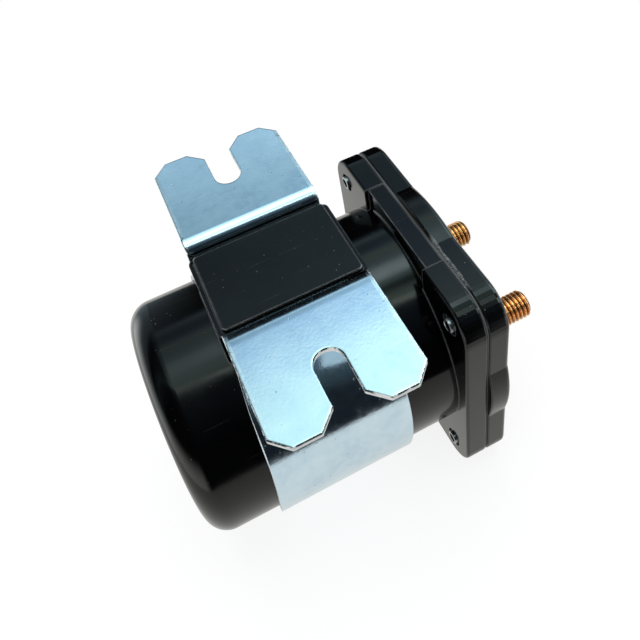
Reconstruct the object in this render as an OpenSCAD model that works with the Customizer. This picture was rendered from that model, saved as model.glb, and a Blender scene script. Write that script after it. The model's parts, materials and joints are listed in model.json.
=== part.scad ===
// Battery isolator relay: a moulded can with a square flange, a folded mounting bracket with two
// slotted ears, a terminal cover with two threaded studs, and the coil, plunger and contact disc inside.
// The main axis runs along X, the ears lie across Y and their mounting face looks up (+Z).
// The origin is the bottom centre of the bounding box. Stations are distances along the main axis
// from the closed end of the can, and heights are measured from the main axis.

/* [Housing] */
// Outside diameter of the can
can_d = 63; // [61:0.2:65]
// Radius of the rounded edge at the closed end
can_edge_r = 6.5; // [4:0.5:9]
// Side wall of the can
can_wall = 2.6; // [2:0.1:3]
// Thickness of the closed end
end_wall = 2.5; // [2:0.1:4]
// Station of the back face of the flange
flange_station = 70; // [68:0.1:72]
// Thickness of the housing flange
flange_t = 6.05; // [5:0.05:8]
// Width of the square flange and of the cover on it
flange_w = 70.6; // [69:0.2:73]
// Corner radius of the flange and of the cover
flange_corner_r = 9.2; // [6:0.2:11]
// Edge rounding at the back of the housing flange
flange_edge_r = 0.8; // [0.4:0.1:1.5]
// Edge rounding on both sides of the parting joint
joint_edge_r = 0.5; // [0.3:0.1:0.8]
// Width of the relief between the corner pads, at the top and the bottom of the flange
relief_w = 31; // [20:0.5:34]
// Depth of that relief behind the corner pads
relief_t = 1.2; // [0.6:0.1:2]
// Drop of the rim between the corner pads
relief_drop = 0.25; // [0.1:0.05:0.6]
// Fillet between the can and the flange
root_fillet = 0.6; // [0.3:0.1:1.5]

/* [Platform] */
// Station where the platform under the pad starts
platform_station = 20; // [17:0.1:21]
// Length of the platform along the axis
platform_l = 38.1; // [36:0.1:44]
// Height of the platform's ledge over the main axis
platform_h = 40; // [38:0.1:41]
// Corner radius of the platform
platform_corner_r = 1.8; // [1:0.1:4]
// Width of the ledge along the pad's sides
ledge_w = 0.8; // [0.6:0.1:2]
// Width of the ledge at the pad's two ends
ledge_end_w = 1.3; // [0.6:0.1:2]
// Rise of the pad over the ledge
pad_rise = 1.5; // [0.8:0.1:2]
// Depth of the pad's seat in the platform
pad_seat = 1; // [0.6:0.1:2]
// Wall left round the cored pocket under the pad
pocket_wall = 3; // [2.5:0.1:4]
// Depth of the cored pocket below the pad's seat
pocket_depth = 5; // [2:0.5:6]
// Rounding of the top edges of the platform and of the pad
soft_edge_r = 0.35; // [0.2:0.05:0.5]

/* [Mounting bracket] */
// Station where the bracket starts
bracket_station = 20.6; // [18:0.1:22]
// Width of the bracket along the axis
bracket_w = 36; // [34:0.1:38]
// Thickness of the plated sheet
sheet_t = 1.6; // [1.2:0.1:2]
// Clear distance between the two legs
leg_gap = 26.6; // [25:0.2:29]
// Height of the ears' mounting face over the main axis
ear_h = 44.2; // [42:0.1:48]
// Distance across the two ear tips
ear_span = 92.4; // [90:0.2:98]
// Inside radius of the bend between leg and ear
ear_bend_r = 2.6; // [1:0.1:3]
// Inside radius of the bend between leg and wrap
neck_bend_r = 3; // [2:0.1:4]
// Width of the open slot in each ear
slot_w = 7.1; // [6:0.1:9]
// Distance from the middle of the part to the centre of the slot's round end
slot_centre = 32.9; // [31:0.1:36]
// Chamfer on the outer corners of the ears
tip_chamfer = 4; // [2:0.1:5]
// Chamfer at the mouth of the slot
mouth_chamfer = 4.1; // [2:0.1:5]

/* [Terminal cover] */
// Thickness of the cover at its rim
cover_t = 5.95; // [5.5:0.05:7]
// Diameter of the round body that bulges past the middle of each side
bulge_d = 73.6; // [72:0.2:76]
// Edge rounding at the front of the cover
cover_edge_r = 1.4; // [0.8:0.1:1.6]
// Depth of the contact chamber in the cover
cover_pocket = 2; // [1.5:0.1:2.4]
// Diameter of the contact chamber in the cover
cover_pocket_d = 54; // [53:0.5:56]
// Height of the bosses round the main studs
stud_boss_h = 2.5; // [1:0.1:4]
// Diameter of the bosses round the main studs
stud_boss_d = 19; // [17:0.5:22]
// Height of the bosses round the coil terminals
coil_boss_h = 2; // [1:0.1:4]
// Diameter of the bosses round the coil terminals
coil_boss_d = 10; // [9:0.5:12]
// Height of the barrier rib between the main studs
barrier_h = 5; // [3:0.5:6]
// Thickness of the barrier rib
barrier_t = 2.4; // [2:0.1:4]
// Length of the barrier rib
barrier_l = 22; // [16:1:24]
// Thickness of the gasket in the joint
gasket_t = 0.5; // [0.3:0.1:0.8]
// How far the gasket stays inside the outline of the flange
gasket_inset = 0.35; // [0.2:0.05:0.8]

/* [Flange screws] */
// Distance from the edges of the flange to the axes of the screws
screw_edge = 7.3; // [6.8:0.1:8.2]
// Diameter of the screw shank
screw_d = 3.8; // [3:0.1:4]
// Diameter of the screw heads in the front of the cover
screw_head_d = 7; // [6:0.1:7.4]
// Height of the screw heads
screw_head_h = 2.4; // [1.8:0.1:2.8]
// Depth of the heads below the front of the cover
screw_sink = 0.4; // [0.2:0.1:0.8]
// Distance across the flats of the hex socket
socket_af = 2.5; // [2:0.1:3]
// Depth of the hex socket
socket_depth = 1.3; // [0.8:0.1:1.5]
// How far the screw ends stand out of the back of the flange
screw_proud = 0.7; // [0.3:0.1:1.2]
// Diameter of the hollow in each screw end
hollow_d = 2.4; // [1.6:0.1:2.6]
// Depth of the hollow in each screw end
hollow_depth = 1.2; // [0.6:0.1:2]
// Diameter of the recess in the flange round each screw end
recess_d = 5.4; // [5:0.1:6.4]
// Depth of that recess
recess_depth = 0.8; // [0.4:0.1:1.5]

/* [Main studs] */
// Thread diameter of the main studs
stud_d = 8; // [6:0.5:8]
// Distance between the two main studs
stud_pitch = 30.9; // [30:0.1:33]
// Length of each stud past the face of the cover
stud_out = 18.9; // [17:0.1:21]
// Depth of the run-out groove in front of each nut on the studs and terminals
groove_cut = 0.4; // [0.3:0.05:0.5]
// Chamfer at the tip of each stud
stud_chamfer = 0.9; // [0.5:0.1:1.2]
// Diameter of the contact head of each stud
stud_head_d = 14.8; // [13:0.2:15.4]
// Thickness of the contact head of each stud
stud_head_t = 2.65; // [2:0.05:3]
// Thickness of the seal under each head
seal_t = 0.75; // [0.5:0.05:1]
// Thickness of the washer on each boss
washer_t = 1.2; // [0.8:0.1:1.6]
// Diameter of the washer on each boss
washer_d = 16; // [14:0.5:17]
// Thickness of the clamping nut on each stud
nut_t = 4; // [3:0.1:5]
// Distance across the flats of the clamping nut
nut_af = 13; // [11:0.5:13]

/* [Coil terminals] */
// Thread diameter of the coil terminals
coil_stud_d = 4; // [3:0.5:5]
// Distance between the two coil terminals
coil_stud_pitch = 19; // [18:0.5:22]
// Distance of the coil terminals below the main axis
coil_stud_drop = 20; // [19:0.5:20.5]
// Length of each coil terminal past the face of the cover
coil_stud_out = 11.2; // [9:0.1:13]
// Diameter of the head of each coil terminal
coil_head_d = 6.8; // [6:0.2:7]
// Thickness of the head of each coil terminal
coil_head_t = 1.6; // [1.2:0.1:1.8]
// Distance across the flats of the coil terminal nuts
coil_nut_af = 7; // [6:0.5:8]
// Thickness of the coil terminal nuts
coil_nut_t = 3; // [2:0.1:4]
// Diameter of the wire that leads to each coil terminal
lead_d = 1.2; // [0.8:0.1:1.6]

/* [Magnet] */
// Thickness of the rear cushion
cushion_t = 1.5; // [1:0.1:2]
// Outside diameter of the rear cushion
cushion_d = 46; // [40:1:48]
// Inside diameter of the rear cushion
cushion_bore_d = 24; // [16:1:28]
// Wall of the drawn steel yoke shell
yoke_wall = 2.2; // [1.6:0.1:2.4]
// Radius of the yoke shell's drawn edge
yoke_edge_r = 4; // [3.5:0.1:6]
// Lip of the yoke shell in front of the pole plate
yoke_lip = 0.8; // [0.4:0.1:1.2]
// Distance from the back of the front pole plate to the back of the flange
plate_setback = 13.8; // [13.5:0.1:15]
// Thickness of the front pole plate
plate_t = 3; // [2:0.1:3.4]
// Diameter of the pole core and of its fit in the guide tube
core_d = 17.9; // [16:0.1:19]
// Station of the working face of the pole core
core_station = 40; // [38:0.1:42]
// Diameter of the core's spigot in the pole plate
spigot_d = 12; // [10:0.5:14]
// Wall of the brass guide tube
tube_wall = 0.55; // [0.4:0.05:0.8]
// Wall of the bobbin's barrel
barrel_wall = 1.3; // [1:0.1:2]
// Thickness of the bobbin's flanges
bobbin_flange_t = 1.8; // [1.4:0.1:2.5]
// Depth of the wire layers on the bobbin
winding_depth = 13; // [10:0.5:14]

/* [Moving contact] */
// Travel of the plunger until it is pulled in
plunger_travel = 2.5; // [2:0.1:2.8]
// Gap between the contact disc and the stud heads at rest
contact_gap = 2.05; // [1.8:0.05:2.1]
// Thickness of the rubber bumper behind the plunger
bumper_t = 2; // [1.5:0.1:3]
// Diameter of the bumper
bumper_d = 16; // [12:0.5:17]
// Diameter of the push rod
rod_d = 5; // [4:0.1:5.4]
// Length of the rod inside the plunger
rod_grip = 17.5; // [10:0.5:25]
// Diameter of the contact disc
disc_d = 39; // [36:0.5:39.5]
// Thickness of the contact disc
disc_t = 2.4; // [2:0.1:2.6]
// Diameter of the insulating bushes on the rod
bush_d = 14; // [12:0.5:15]
// Thickness of the flange of the rear bush
bush_flange_t = 1.5; // [1:0.1:2]
// Thickness of the front bush
bush_washer_t = 1; // [0.8:0.1:1.2]
// Wall of the rear bush's sleeve in the contact disc
bush_wall = 1.4; // [1:0.1:2]
// Thickness of the clip in front of the contact disc
clip_t = 0.7; // [0.6:0.1:0.9]
// Diameter of that clip
clip_d = 8.8; // [8:0.2:10]
// Length of the rod in front of the clip
rod_end = 0.8; // [0.5:0.1:0.9]
// Thickness of the collar behind the contact spring
collar_t = 1; // [0.8:0.1:1.5]
// Diameter of the collar
collar_d = 12; // [11:0.5:13]
// Length of the contact spring as fitted
contact_spring_l = 7.2; // [6:0.1:7.4]
// Mean diameter of the contact spring
contact_spring_d = 9.2; // [8:0.1:10]
// Wire diameter of the contact spring
contact_wire_d = 1; // [0.7:0.1:1.2]
// Turns of the contact spring
contact_turns = 4.5; // [3.5:0.5:5]
// Mean diameter of the return spring
return_spring_d = 7.4; // [7:0.1:7.8]
// Wire diameter of the return spring
return_wire_d = 0.9; // [0.6:0.1:1]
// Turns of the return spring
return_turns = 7; // [5:0.5:8]
// Depth of the return spring's seat in the pole core
spring_seat = 12; // [9:0.5:13]

/* [Clearances] */
// Play between fixed pieces that fit round each other
fit_gap = 0.05; // [0.02:0.01:0.1]
// Radial play of sliding fits
slide_gap = 0.05; // [0.02:0.01:0.08]
// Air between pieces that only lie beside each other
air_gap = 0.3; // [0.2:0.05:0.4]
// Clearance round the screw shanks and the stud shanks
hole_gap = 0.1; // [0.05:0.05:0.3]

/* [Hidden] */
$fn = 96;
HULL_FN = 48;
SQUARE_CORNERS = [[1, 1], [-1, 1], [-1, -1], [1, -1]];
OVERLAP = 0.02;
JOIN = 0.3;
FAR = 200;

can_r = can_d / 2;
bore_r = can_r - can_wall;
joint_station = flange_station + flange_t;
cover_station = joint_station + gasket_t;
face_station = cover_station + cover_t;
chamber_station = cover_station + cover_pocket;
overall_l = face_station + stud_out;
axis_h = max(bulge_d, flange_w) / 2;
screw_pitch = flange_w - 2 * screw_edge;
screw_head_station = face_station - screw_sink - screw_head_h;
screw_end_station = flange_station - screw_proud;

bracket_mid = bracket_station + bracket_w / 2;
wrap_r = can_r + fit_gap;
wrap_out_r = wrap_r + sheet_t;
leg_in = leg_gap / 2;
leg_out = leg_in + sheet_t;
ear_bend_out = ear_bend_r + sheet_t;
neck_u = leg_out + neck_bend_r;
neck_v = sqrt(pow(wrap_out_r + neck_bend_r, 2) - pow(neck_u, 2));
neck_angle = atan2(neck_v, neck_u);

platform_w = leg_gap - 2 * air_gap;
pad_l = platform_l - 2 * ledge_end_w;
pad_w = platform_w - 2 * ledge_w;
pad_corner_r = platform_corner_r - ledge_w / 2;
pad_floor = platform_h - pad_seat;
pad_t = pad_seat + pad_rise;

yoke_r = bore_r - air_gap;
yoke_in_r = yoke_r - yoke_wall;
yoke_station = end_wall + cushion_t;
yoke_floor = yoke_station + yoke_wall;
plate_station = flange_station - plate_setback;
plate_front = plate_station + plate_t;
yoke_end = plate_front + yoke_lip;
core_r = core_d / 2;
tube_in_r = core_r + slide_gap;
tube_r = tube_in_r + tube_wall;
bobbin_in_r = tube_r + fit_gap;
barrel_r = bobbin_in_r + barrel_wall;
bobbin_r = yoke_in_r - air_gap;
bobbin_rear_r = bobbin_r - (yoke_edge_r - yoke_wall);
bobbin_station = yoke_floor + air_gap;
bobbin_end = plate_station - fit_gap;
winding_station = bobbin_station + bobbin_flange_t + fit_gap;
winding_end = bobbin_end - bobbin_flange_t - fit_gap;
winding_r = barrel_r + winding_depth;

residual_gap = 0.1;
bumper_end = yoke_floor + bumper_t;
plunger_station = bumper_end + fit_gap;
plunger_end = core_station - plunger_travel - residual_gap;
rod_r = rod_d / 2;
rod_bore_r = rod_r + slide_gap;
rod_station = plunger_end - rod_grip;
groove_depth = 0.7;
groove_r = rod_r - groove_depth;
sleeve_r = rod_bore_r + bush_wall;
seat_r = (return_spring_d + return_wire_d) / 2 + air_gap;

head_station = chamber_station - seal_t - stud_head_t;
contact_front = head_station - contact_gap;
disc_station = contact_front - disc_t;
bush_station = disc_station - bush_flange_t;
contact_spring_station = bush_station - contact_spring_l;
collar_station = contact_spring_station - collar_t;
clip_station = contact_front + bush_washer_t;
rod_tip = clip_station + clip_t + rod_end;

stud_r = stud_d / 2;
stud_groove_station = face_station + stud_boss_h + washer_t + nut_t;
coil_stud_r = coil_stud_d / 2;
coil_groove_station = face_station + coil_boss_h + coil_nut_t;
groove_w = 2 * air_gap;
lead_r = lead_d / 2;

// Places children drawn on the main axis: their z is the station, and x and y lie across it
module on_axis() {
    translate([-overall_l / 2, 0, axis_h]) rotate([90, 0, 90]) children();
}

// Solid of revolution round the main axis, from a profile of radius and station
module turned() {
    on_axis() rotate_extrude() children();
}

// Prism along the main axis, from a section of Y and height
module along(station, length) {
    on_axis() translate([0, 0, station]) linear_extrude(length) children();
}

// Upright prism, from a plan of station and Y, starting at a height over the main axis
module upright(height, length) {
    translate([-overall_l / 2, 0, axis_h + height]) linear_extrude(length) children();
}

// Puts children at the two ends of a pitch across the part
module pair(pitch) {
    for (side = [-1, 1]) translate([side * pitch / 2, 0, 0]) children();
}

// Puts children at the four corners of a square of the given pitch
module corners(pitch) {
    for (corner = SQUARE_CORNERS) translate([corner.x * pitch / 2, corner.y * pitch / 2, 0]) children();
}

// Profile of a ring: inner and outer radius, first and last station
module ring(r_in, r_out, from, to) {
    translate([r_in, from]) square([r_out - r_in, to - from]);
}

// Rectangle with rounded corners, centred
module rounded_rect(length, width, r) {
    square([length - 2 * r, width], center = true);
    square([length, width - 2 * r], center = true);
    for (corner = SQUARE_CORNERS)
        translate([corner.x * (length / 2 - r), corner.y * (width / 2 - r)]) circle(r);
}

// Profile of a disc whose two rims are rounded
module rounded_disc_profile(r, thickness, back_r, front_r) {
    square([r - max(back_r, front_r), thickness]);
    translate([0, back_r]) square([r, thickness - back_r - front_r]);
    intersection() {
        square([r, thickness]);
        union() {
            translate([r - back_r, back_r]) circle(back_r);
            translate([r - front_r, thickness - front_r]) circle(front_r);
            square([r - back_r, back_r]);
            translate([0, thickness - front_r]) square([r - front_r, front_r]);
        }
    }
}

// Square plate with rounded corners and rounded rims, lying along z
module soft_plate(width, thickness, corner_r, back_r, front_r) {
    hull() corners(width - 2 * corner_r)
        rotate_extrude($fn = HULL_FN)
            rounded_disc_profile(corner_r, thickness, back_r, front_r, $fn = HULL_FN);
}

// Wedge-shaped cutter from the origin between two angles less than 180 degrees apart
module wedge(from, to) {
    mid = (from + to) / 2;
    polygon([[0, 0], for (a = [from, mid, to]) FAR * [cos(a), sin(a)]]);
}

// Curved piece of folded sheet between two angles
module sheet_bend(r_in, from, to) {
    intersection() {
        difference() {
            circle(r_in + sheet_t);
            circle(r_in);
        }
        wedge(from, to);
    }
}

// Coil spring standing on z = 0, with its first and last turn closed
module coil_spring(mean_d, wire_d, length, turns) {
    sides = 8;
    steps = 20;
    count = round(turns * steps);
    dead = 0.9;
    rise = length - wire_d - 2 * dead * wire_d;
    free = turns - 2 * dead;
    function climb(t) = t < dead ? t * wire_d
        : t > turns - dead ? length - wire_d - (turns - t) * wire_d
        : dead * wire_d + (t - dead) / free * rise;
    function ring_point(i, k) =
        let (t = i / steps, a = 360 * t, b = 360 * k / sides, r = mean_d / 2 + wire_d / 2 * cos(b))
        [r * cos(a), r * sin(a), wire_d / 2 + climb(t) + wire_d / 2 * sin(b)];
    points = [for (i = [0 : count]) for (k = [0 : sides - 1]) ring_point(i, k)];
    walls = [for (i = [0 : count - 1]) for (k = [0 : sides - 1])
        let (a = i * sides + k, b = i * sides + (k + 1) % sides) each [[a, a + sides, b], [b, a + sides, b + sides]]];
    first_cap = [for (k = [0 : sides - 1]) k];
    last_cap = [for (k = [sides - 1 : -1 : 0]) count * sides + k];
    polyhedron(points, concat(walls, [first_cap, last_cap]), convexity = 8);
}

// Black moulded can with its platform and its square flange
module housing() {
    color("#17181a") difference() {
        union() {
            turned() can_profile();
            housing_flange();
            soft_block(platform_l, platform_w, platform_corner_r, 0, platform_h);
        }
        turned() housing_bore_profile();
        upright(pad_floor, FAR) platform_plan()
            rounded_rect(pad_l + 2 * fit_gap, pad_w + 2 * fit_gap, pad_corner_r + fit_gap);
        upright(pad_floor - pocket_depth, FAR) platform_plan()
            square([platform_l - 2 * pocket_wall, platform_w - 2 * pocket_wall], center = true);
        along(0, FAR) corners(screw_pitch) circle(screw_d / 2 + fit_gap);
        along(0, flange_station + recess_depth) corners(screw_pitch) circle(recess_d / 2);
    }
}

// Outer profile of the can, round at the closed end, with the fillet against the flange
module can_profile() {
    ring(0, can_r - can_edge_r, 0, can_edge_r + OVERLAP);
    ring(0, can_r, can_edge_r, joint_station - joint_edge_r);
    intersection() {
        ring(0, can_r, 0, 2 * can_edge_r);
        translate([can_r - can_edge_r, can_edge_r]) circle(can_edge_r);
    }
    translate([can_r - OVERLAP, flange_station + relief_t - root_fillet]) difference() {
        square([root_fillet + OVERLAP, root_fillet + OVERLAP]);
        translate([root_fillet + OVERLAP, 0]) circle(root_fillet);
    }
}

// Square flange with thicker corner pads and a relief between them at the top and the bottom
module housing_flange() {
    relief_low = can_r / 2;
    on_axis() translate([0, 0, flange_station]) difference() {
        soft_plate(flange_w, flange_t, flange_corner_r, flange_edge_r, joint_edge_r);
        for (side = [-1, 1]) {
            translate([-relief_w / 2, side > 0 ? relief_low : -FAR, -FAR])
                cube([relief_w, FAR - relief_low, FAR + relief_t]);
            translate([-relief_w / 2, side > 0 ? flange_w / 2 - relief_drop : -FAR - flange_w / 2 + relief_drop, -FAR])
                cube([relief_w, FAR, 2 * FAR]);
        }
    }
}

// Hollow of the can, open at the flange
module housing_bore_profile() {
    inner_edge_r = can_edge_r - can_wall;
    ring(0, bore_r, end_wall + inner_edge_r, FAR);
    ring(0, bore_r - inner_edge_r, end_wall, FAR);
    intersection() {
        ring(0, bore_r, end_wall, FAR);
        translate([bore_r - inner_edge_r, end_wall + inner_edge_r]) circle(inner_edge_r);
    }
}

// Moves a plan to the middle of the platform
module platform_plan() {
    translate([platform_station + platform_l / 2, 0]) children();
}

// Block over the middle of the platform with rounded corners and softened top edges
module soft_block(length, width, corner_r, from, to) {
    middle = platform_station + platform_l / 2;
    intersection() {
        upright(from, to - from) platform_plan() rounded_rect(length, width, corner_r);
        along(middle - length, 2 * length) soft_top_profile(width, from - 1, to);
        translate([middle - overall_l / 2, width, axis_h]) rotate([90, 0, 0])
            linear_extrude(2 * width) soft_top_profile(length, from - 1, to);
    }
}

// Upright rectangle whose two top corners are rounded
module soft_top_profile(width, from, to) {
    translate([-width / 2, from]) square([width, to - from - soft_edge_r]);
    translate([soft_edge_r - width / 2, to - 2 * soft_edge_r]) square([width - 2 * soft_edge_r, 2 * soft_edge_r]);
    for (side = [-1, 1]) translate([side * (width / 2 - soft_edge_r), to - soft_edge_r]) circle(soft_edge_r);
}

// Flat pad that closes the pocket on top of the platform
module top_pad() {
    color("#1d2122") soft_block(pad_l, pad_w, pad_corner_r, pad_floor, pad_floor + pad_t);
}

// Plated sheet folded round the can, with two slotted ears
module mounting_bracket() {
    color("#aecbd6") difference() {
        along(bracket_station, bracket_w) for (side = [0, 1]) mirror([side, 0]) half_strap();
        for (side = [0, 1]) mirror([0, side, 0]) ear_cuts();
    }
}

// Right half of the strap's section: wrap, neck bend, leg, ear bend and ear
module half_strap() {
    ear_u = leg_in + ear_bend_out;
    ear_v = ear_h - ear_bend_out;
    sheet_bend_from = -90 - OVERLAP;
    intersection() {
        difference() {
            circle(wrap_out_r);
            circle(wrap_r);
        }
        union() {
            wedge(sheet_bend_from, 0);
            wedge(-OVERLAP, neck_angle);
        }
    }
    translate([neck_u, neck_v]) sheet_bend(neck_bend_r, 180, 180 + neck_angle);
    rotate(neck_angle) translate([wrap_r + 2 * OVERLAP, -JOIN]) square([sheet_t - 4 * OVERLAP, 2 * JOIN]);
    translate([leg_in, neck_v - OVERLAP]) square([sheet_t, ear_v - neck_v + 2 * OVERLAP]);
    translate([ear_u, ear_v]) sheet_bend(ear_bend_r, 90, 180);
    translate([ear_u - OVERLAP, ear_h - sheet_t]) square([ear_span / 2 - ear_u + OVERLAP, sheet_t]);
}

// Open slot, chamfered mouth and chamfered tips of the ear on the +Y side
module ear_cuts() {
    tip = ear_span / 2;
    half_w = bracket_w / 2;
    half_slot = slot_w / 2;
    upright(ear_h - 2 * sheet_t, 3 * sheet_t) translate([bracket_mid, 0]) {
        translate([0, slot_centre]) circle(half_slot);
        translate([-half_slot, slot_centre]) square([slot_w, FAR]);
        for (side = [0, 1]) mirror([side, 0]) {
            polygon([
                [half_w - tip_chamfer, tip], [half_w, tip - tip_chamfer],
                [half_w + tip_chamfer, tip], [half_w, tip + tip_chamfer]
            ]);
            polygon([
                [half_slot + mouth_chamfer, tip], [half_slot, tip - mouth_chamfer],
                [0, tip - mouth_chamfer], [0, tip + mouth_chamfer], [half_slot, tip + mouth_chamfer]
            ]);
        }
    }
}

// Black moulded cover that carries the studs
module terminal_cover() {
    color("#1a1b1d") difference() {
        union() {
            on_axis() translate([0, 0, cover_station])
                soft_plate(flange_w, cover_t, flange_corner_r, joint_edge_r, cover_edge_r);
            turned() translate([0, cover_station])
                rounded_disc_profile(bulge_d / 2, cover_t, joint_edge_r, cover_edge_r);
            cover_bosses();
        }
        turned() ring(0, cover_pocket_d / 2, 0, chamber_station);
        along(0, FAR) pair(stud_pitch) circle(stud_r + hole_gap);
        along(0, FAR) translate([0, -coil_stud_drop]) pair(coil_stud_pitch) circle(coil_stud_r + hole_gap);
        along(0, FAR) corners(screw_pitch) circle(screw_d / 2 + hole_gap);
        along(screw_head_station, FAR) corners(screw_pitch) circle(screw_head_d / 2 + hole_gap);
    }
}

// Bosses round the studs and the barrier rib on the front of the cover
module cover_bosses() {
    foot = cover_t / 2;
    along(face_station - foot, foot + stud_boss_h) pair(stud_pitch) circle(stud_boss_d / 2);
    along(face_station - foot, foot + coil_boss_h) translate([0, -coil_stud_drop])
        pair(coil_stud_pitch) circle(coil_boss_d / 2);
    along(face_station - foot, foot + barrier_h) rounded_rect(barrier_t, barrier_l, barrier_t / 2 - OVERLAP);
}

// Flat gasket between the housing flange and the cover
module gasket() {
    gasket_w = flange_w - 2 * gasket_inset;
    color("#6f6d68") along(joint_station, gasket_t) difference() {
        rounded_rect(gasket_w, gasket_w, flange_corner_r - gasket_inset);
        circle(bore_r + air_gap);
        corners(screw_pitch) circle(screw_d / 2 + air_gap);
    }
}

// Four socket screws put in from the front of the cover, with hollow ends behind the flange
module flange_screws() {
    shank_l = screw_head_station - screw_end_station;
    color("#b9bcc0") difference() {
        union() {
            along(screw_head_station, screw_head_h) corners(screw_pitch) circle(screw_head_d / 2);
            along(screw_end_station, shank_l + OVERLAP) corners(screw_pitch) circle(screw_d / 2);
        }
        along(screw_end_station - 1, hollow_depth + 1) corners(screw_pitch) circle(hollow_d / 2);
        along(screw_head_station + screw_head_h - socket_depth, FAR) corners(screw_pitch)
            circle(socket_af / sqrt(3), $fn = 6);
    }
}

// Main stud: contact head inside the cover and plain stand-in for the thread outside
module main_stud() {
    color("#c9783a") on_axis() translate([stud_pitch / 2, 0, 0]) {
        rotate_extrude() {
            ring(0, stud_head_d / 2, head_station, head_station + stud_head_t);
            ring(0, stud_r, head_station, stud_groove_station);
            ring(0, stud_r - groove_cut, head_station, overall_l - stud_chamfer);
            ring(0, stud_r, stud_groove_station + groove_w, overall_l - stud_chamfer);
            polygon([
                [0, overall_l - stud_chamfer], [stud_r, overall_l - stud_chamfer],
                [stud_r - stud_chamfer, overall_l], [0, overall_l]
            ]);
        }
    }
}

// Stud on the -Y side
module near_stud() {
    mirror([0, 1, 0]) main_stud();
}

// Stud on the +Y side
module far_stud() {
    main_stud();
}

// Rubber seals between the stud heads and the cover
module stud_seals() {
    color("#3a3a3c") along(chamber_station - seal_t, seal_t) pair(stud_pitch) difference() {
        circle(stud_head_d / 2);
        circle(stud_r + hole_gap);
    }
}

// Flat washers on the bosses
module stud_washers() {
    color("#b98a4a") along(face_station + stud_boss_h, washer_t) pair(stud_pitch) difference() {
        circle(washer_d / 2);
        circle(stud_r + hole_gap);
    }
}

// Hex nuts that clamp the studs in the cover
module stud_nuts() {
    color("#c48a3c") along(face_station + stud_boss_h + washer_t, nut_t) pair(stud_pitch) difference() {
        circle(nut_af / sqrt(3), $fn = 6);
        circle(stud_r + fit_gap);
    }
}

// Two small brass terminals of the coil
module coil_terminals() {
    head_back = chamber_station - coil_head_t;
    color("#c8a24a") translate([0, 0, -coil_stud_drop]) {
        along(head_back, coil_head_t) pair(coil_stud_pitch) circle(coil_head_d / 2);
        along(head_back, coil_groove_station - head_back) pair(coil_stud_pitch) circle(coil_stud_r);
        along(head_back, face_station + coil_stud_out - head_back)
            pair(coil_stud_pitch) circle(coil_stud_r - groove_cut);
        along(coil_groove_station + groove_w, face_station + coil_stud_out - coil_groove_station - groove_w)
            pair(coil_stud_pitch) circle(coil_stud_r);
    }
}

// Hex nuts on the coil terminals
module coil_terminal_nuts() {
    color("#c8a24a") translate([0, 0, -coil_stud_drop])
        along(face_station + coil_boss_h, coil_nut_t) pair(coil_stud_pitch) difference() {
            circle(coil_nut_af / sqrt(3), $fn = 6);
            circle(coil_stud_r + fit_gap);
        }
}

// Wire from the coil to a terminal head, one per side
module coil_lead(side) {
    from = winding_end;
    to = chamber_station - coil_head_t;
    color("#9a3f24") along(from, to - from)
        translate([side * coil_stud_pitch / 2, -coil_stud_drop]) circle(lead_r);
}

// Lead on the -Y side
module left_coil_lead() {
    coil_lead(-1);
}

// Lead on the +Y side
module right_coil_lead() {
    coil_lead(1);
}

// Rubber ring behind the magnet
module rear_cushion() {
    color("#303032") turned() ring(cushion_bore_d / 2, cushion_d / 2, end_wall, yoke_station);
}

// Drawn steel shell that carries the magnet's flux
module yoke_shell() {
    inner_edge_r = yoke_edge_r - yoke_wall;
    color("#8d9196") turned() difference() {
        drawn_cup_profile(yoke_r, yoke_edge_r, yoke_station, yoke_end);
        drawn_cup_profile(yoke_in_r, inner_edge_r, yoke_floor, FAR);
    }
}

// Solid profile of a cup with a rounded bottom edge
module drawn_cup_profile(r, edge_r, from, to) {
    ring(0, r, from + edge_r, to);
    ring(0, r - edge_r, from, to);
    intersection() {
        ring(0, r, from, to);
        translate([r - edge_r, from + edge_r]) circle(edge_r);
    }
}

// Steel plate that closes the yoke at the front, with two holes for the coil's leads
module front_pole_plate() {
    color("#9a9da1") along(plate_station, plate_t) difference() {
        circle(yoke_in_r - fit_gap);
        circle(spigot_d / 2 + fit_gap);
        translate([0, -coil_stud_drop]) pair(coil_stud_pitch) circle(lead_r + air_gap);
    }
}

// Fixed pole core with the seat of the return spring
module pole_core() {
    color("#85898e") turned() difference() {
        union() {
            ring(0, core_r, core_station, plate_station);
            ring(0, spigot_d / 2, core_station, yoke_end);
        }
        ring(0, rod_bore_r, 0, FAR);
        ring(0, seat_r, 0, core_station + spring_seat);
    }
}

// Brass tube that guides the plunger
module guide_tube() {
    color("#c2a355") turned() ring(tube_in_r, tube_r, yoke_floor + fit_gap, plate_station - fit_gap);
}

// Plastic bobbin with notches for the leads in its front flange
module coil_bobbin() {
    color("#e6e2d6") difference() {
        turned() {
            ring(bobbin_in_r, barrel_r, bobbin_station, bobbin_end);
            ring(bobbin_in_r, bobbin_rear_r, bobbin_station, bobbin_station + bobbin_flange_t);
            ring(bobbin_in_r, bobbin_r, bobbin_end - bobbin_flange_t, bobbin_end);
        }
        along(winding_end, FAR) translate([0, -coil_stud_drop]) pair(coil_stud_pitch) circle(lead_r + air_gap);
    }
}

// Copper wire wound on the bobbin
module coil_winding() {
    color("#a8512a") turned() ring(barrel_r + fit_gap, winding_r, winding_station, winding_end - fit_gap);
}

// Insulating sleeve that holds the magnet back and lines the contact chamber
module spacer_sleeve() {
    color("#3a3430") turned() ring(yoke_in_r, yoke_r, yoke_end + fit_gap, cover_station - fit_gap);
}

// Rubber bumper that the plunger rests on
module plunger_bumper() {
    color("#26282a") turned() ring(0, bumper_d / 2, yoke_floor, bumper_end);
}

// Steel plunger, bored for the push rod
module plunger() {
    color("#a3a7ab") turned() difference() {
        ring(0, core_r, plunger_station, plunger_end);
        ring(0, rod_r, rod_station, FAR);
    }
}

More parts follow.
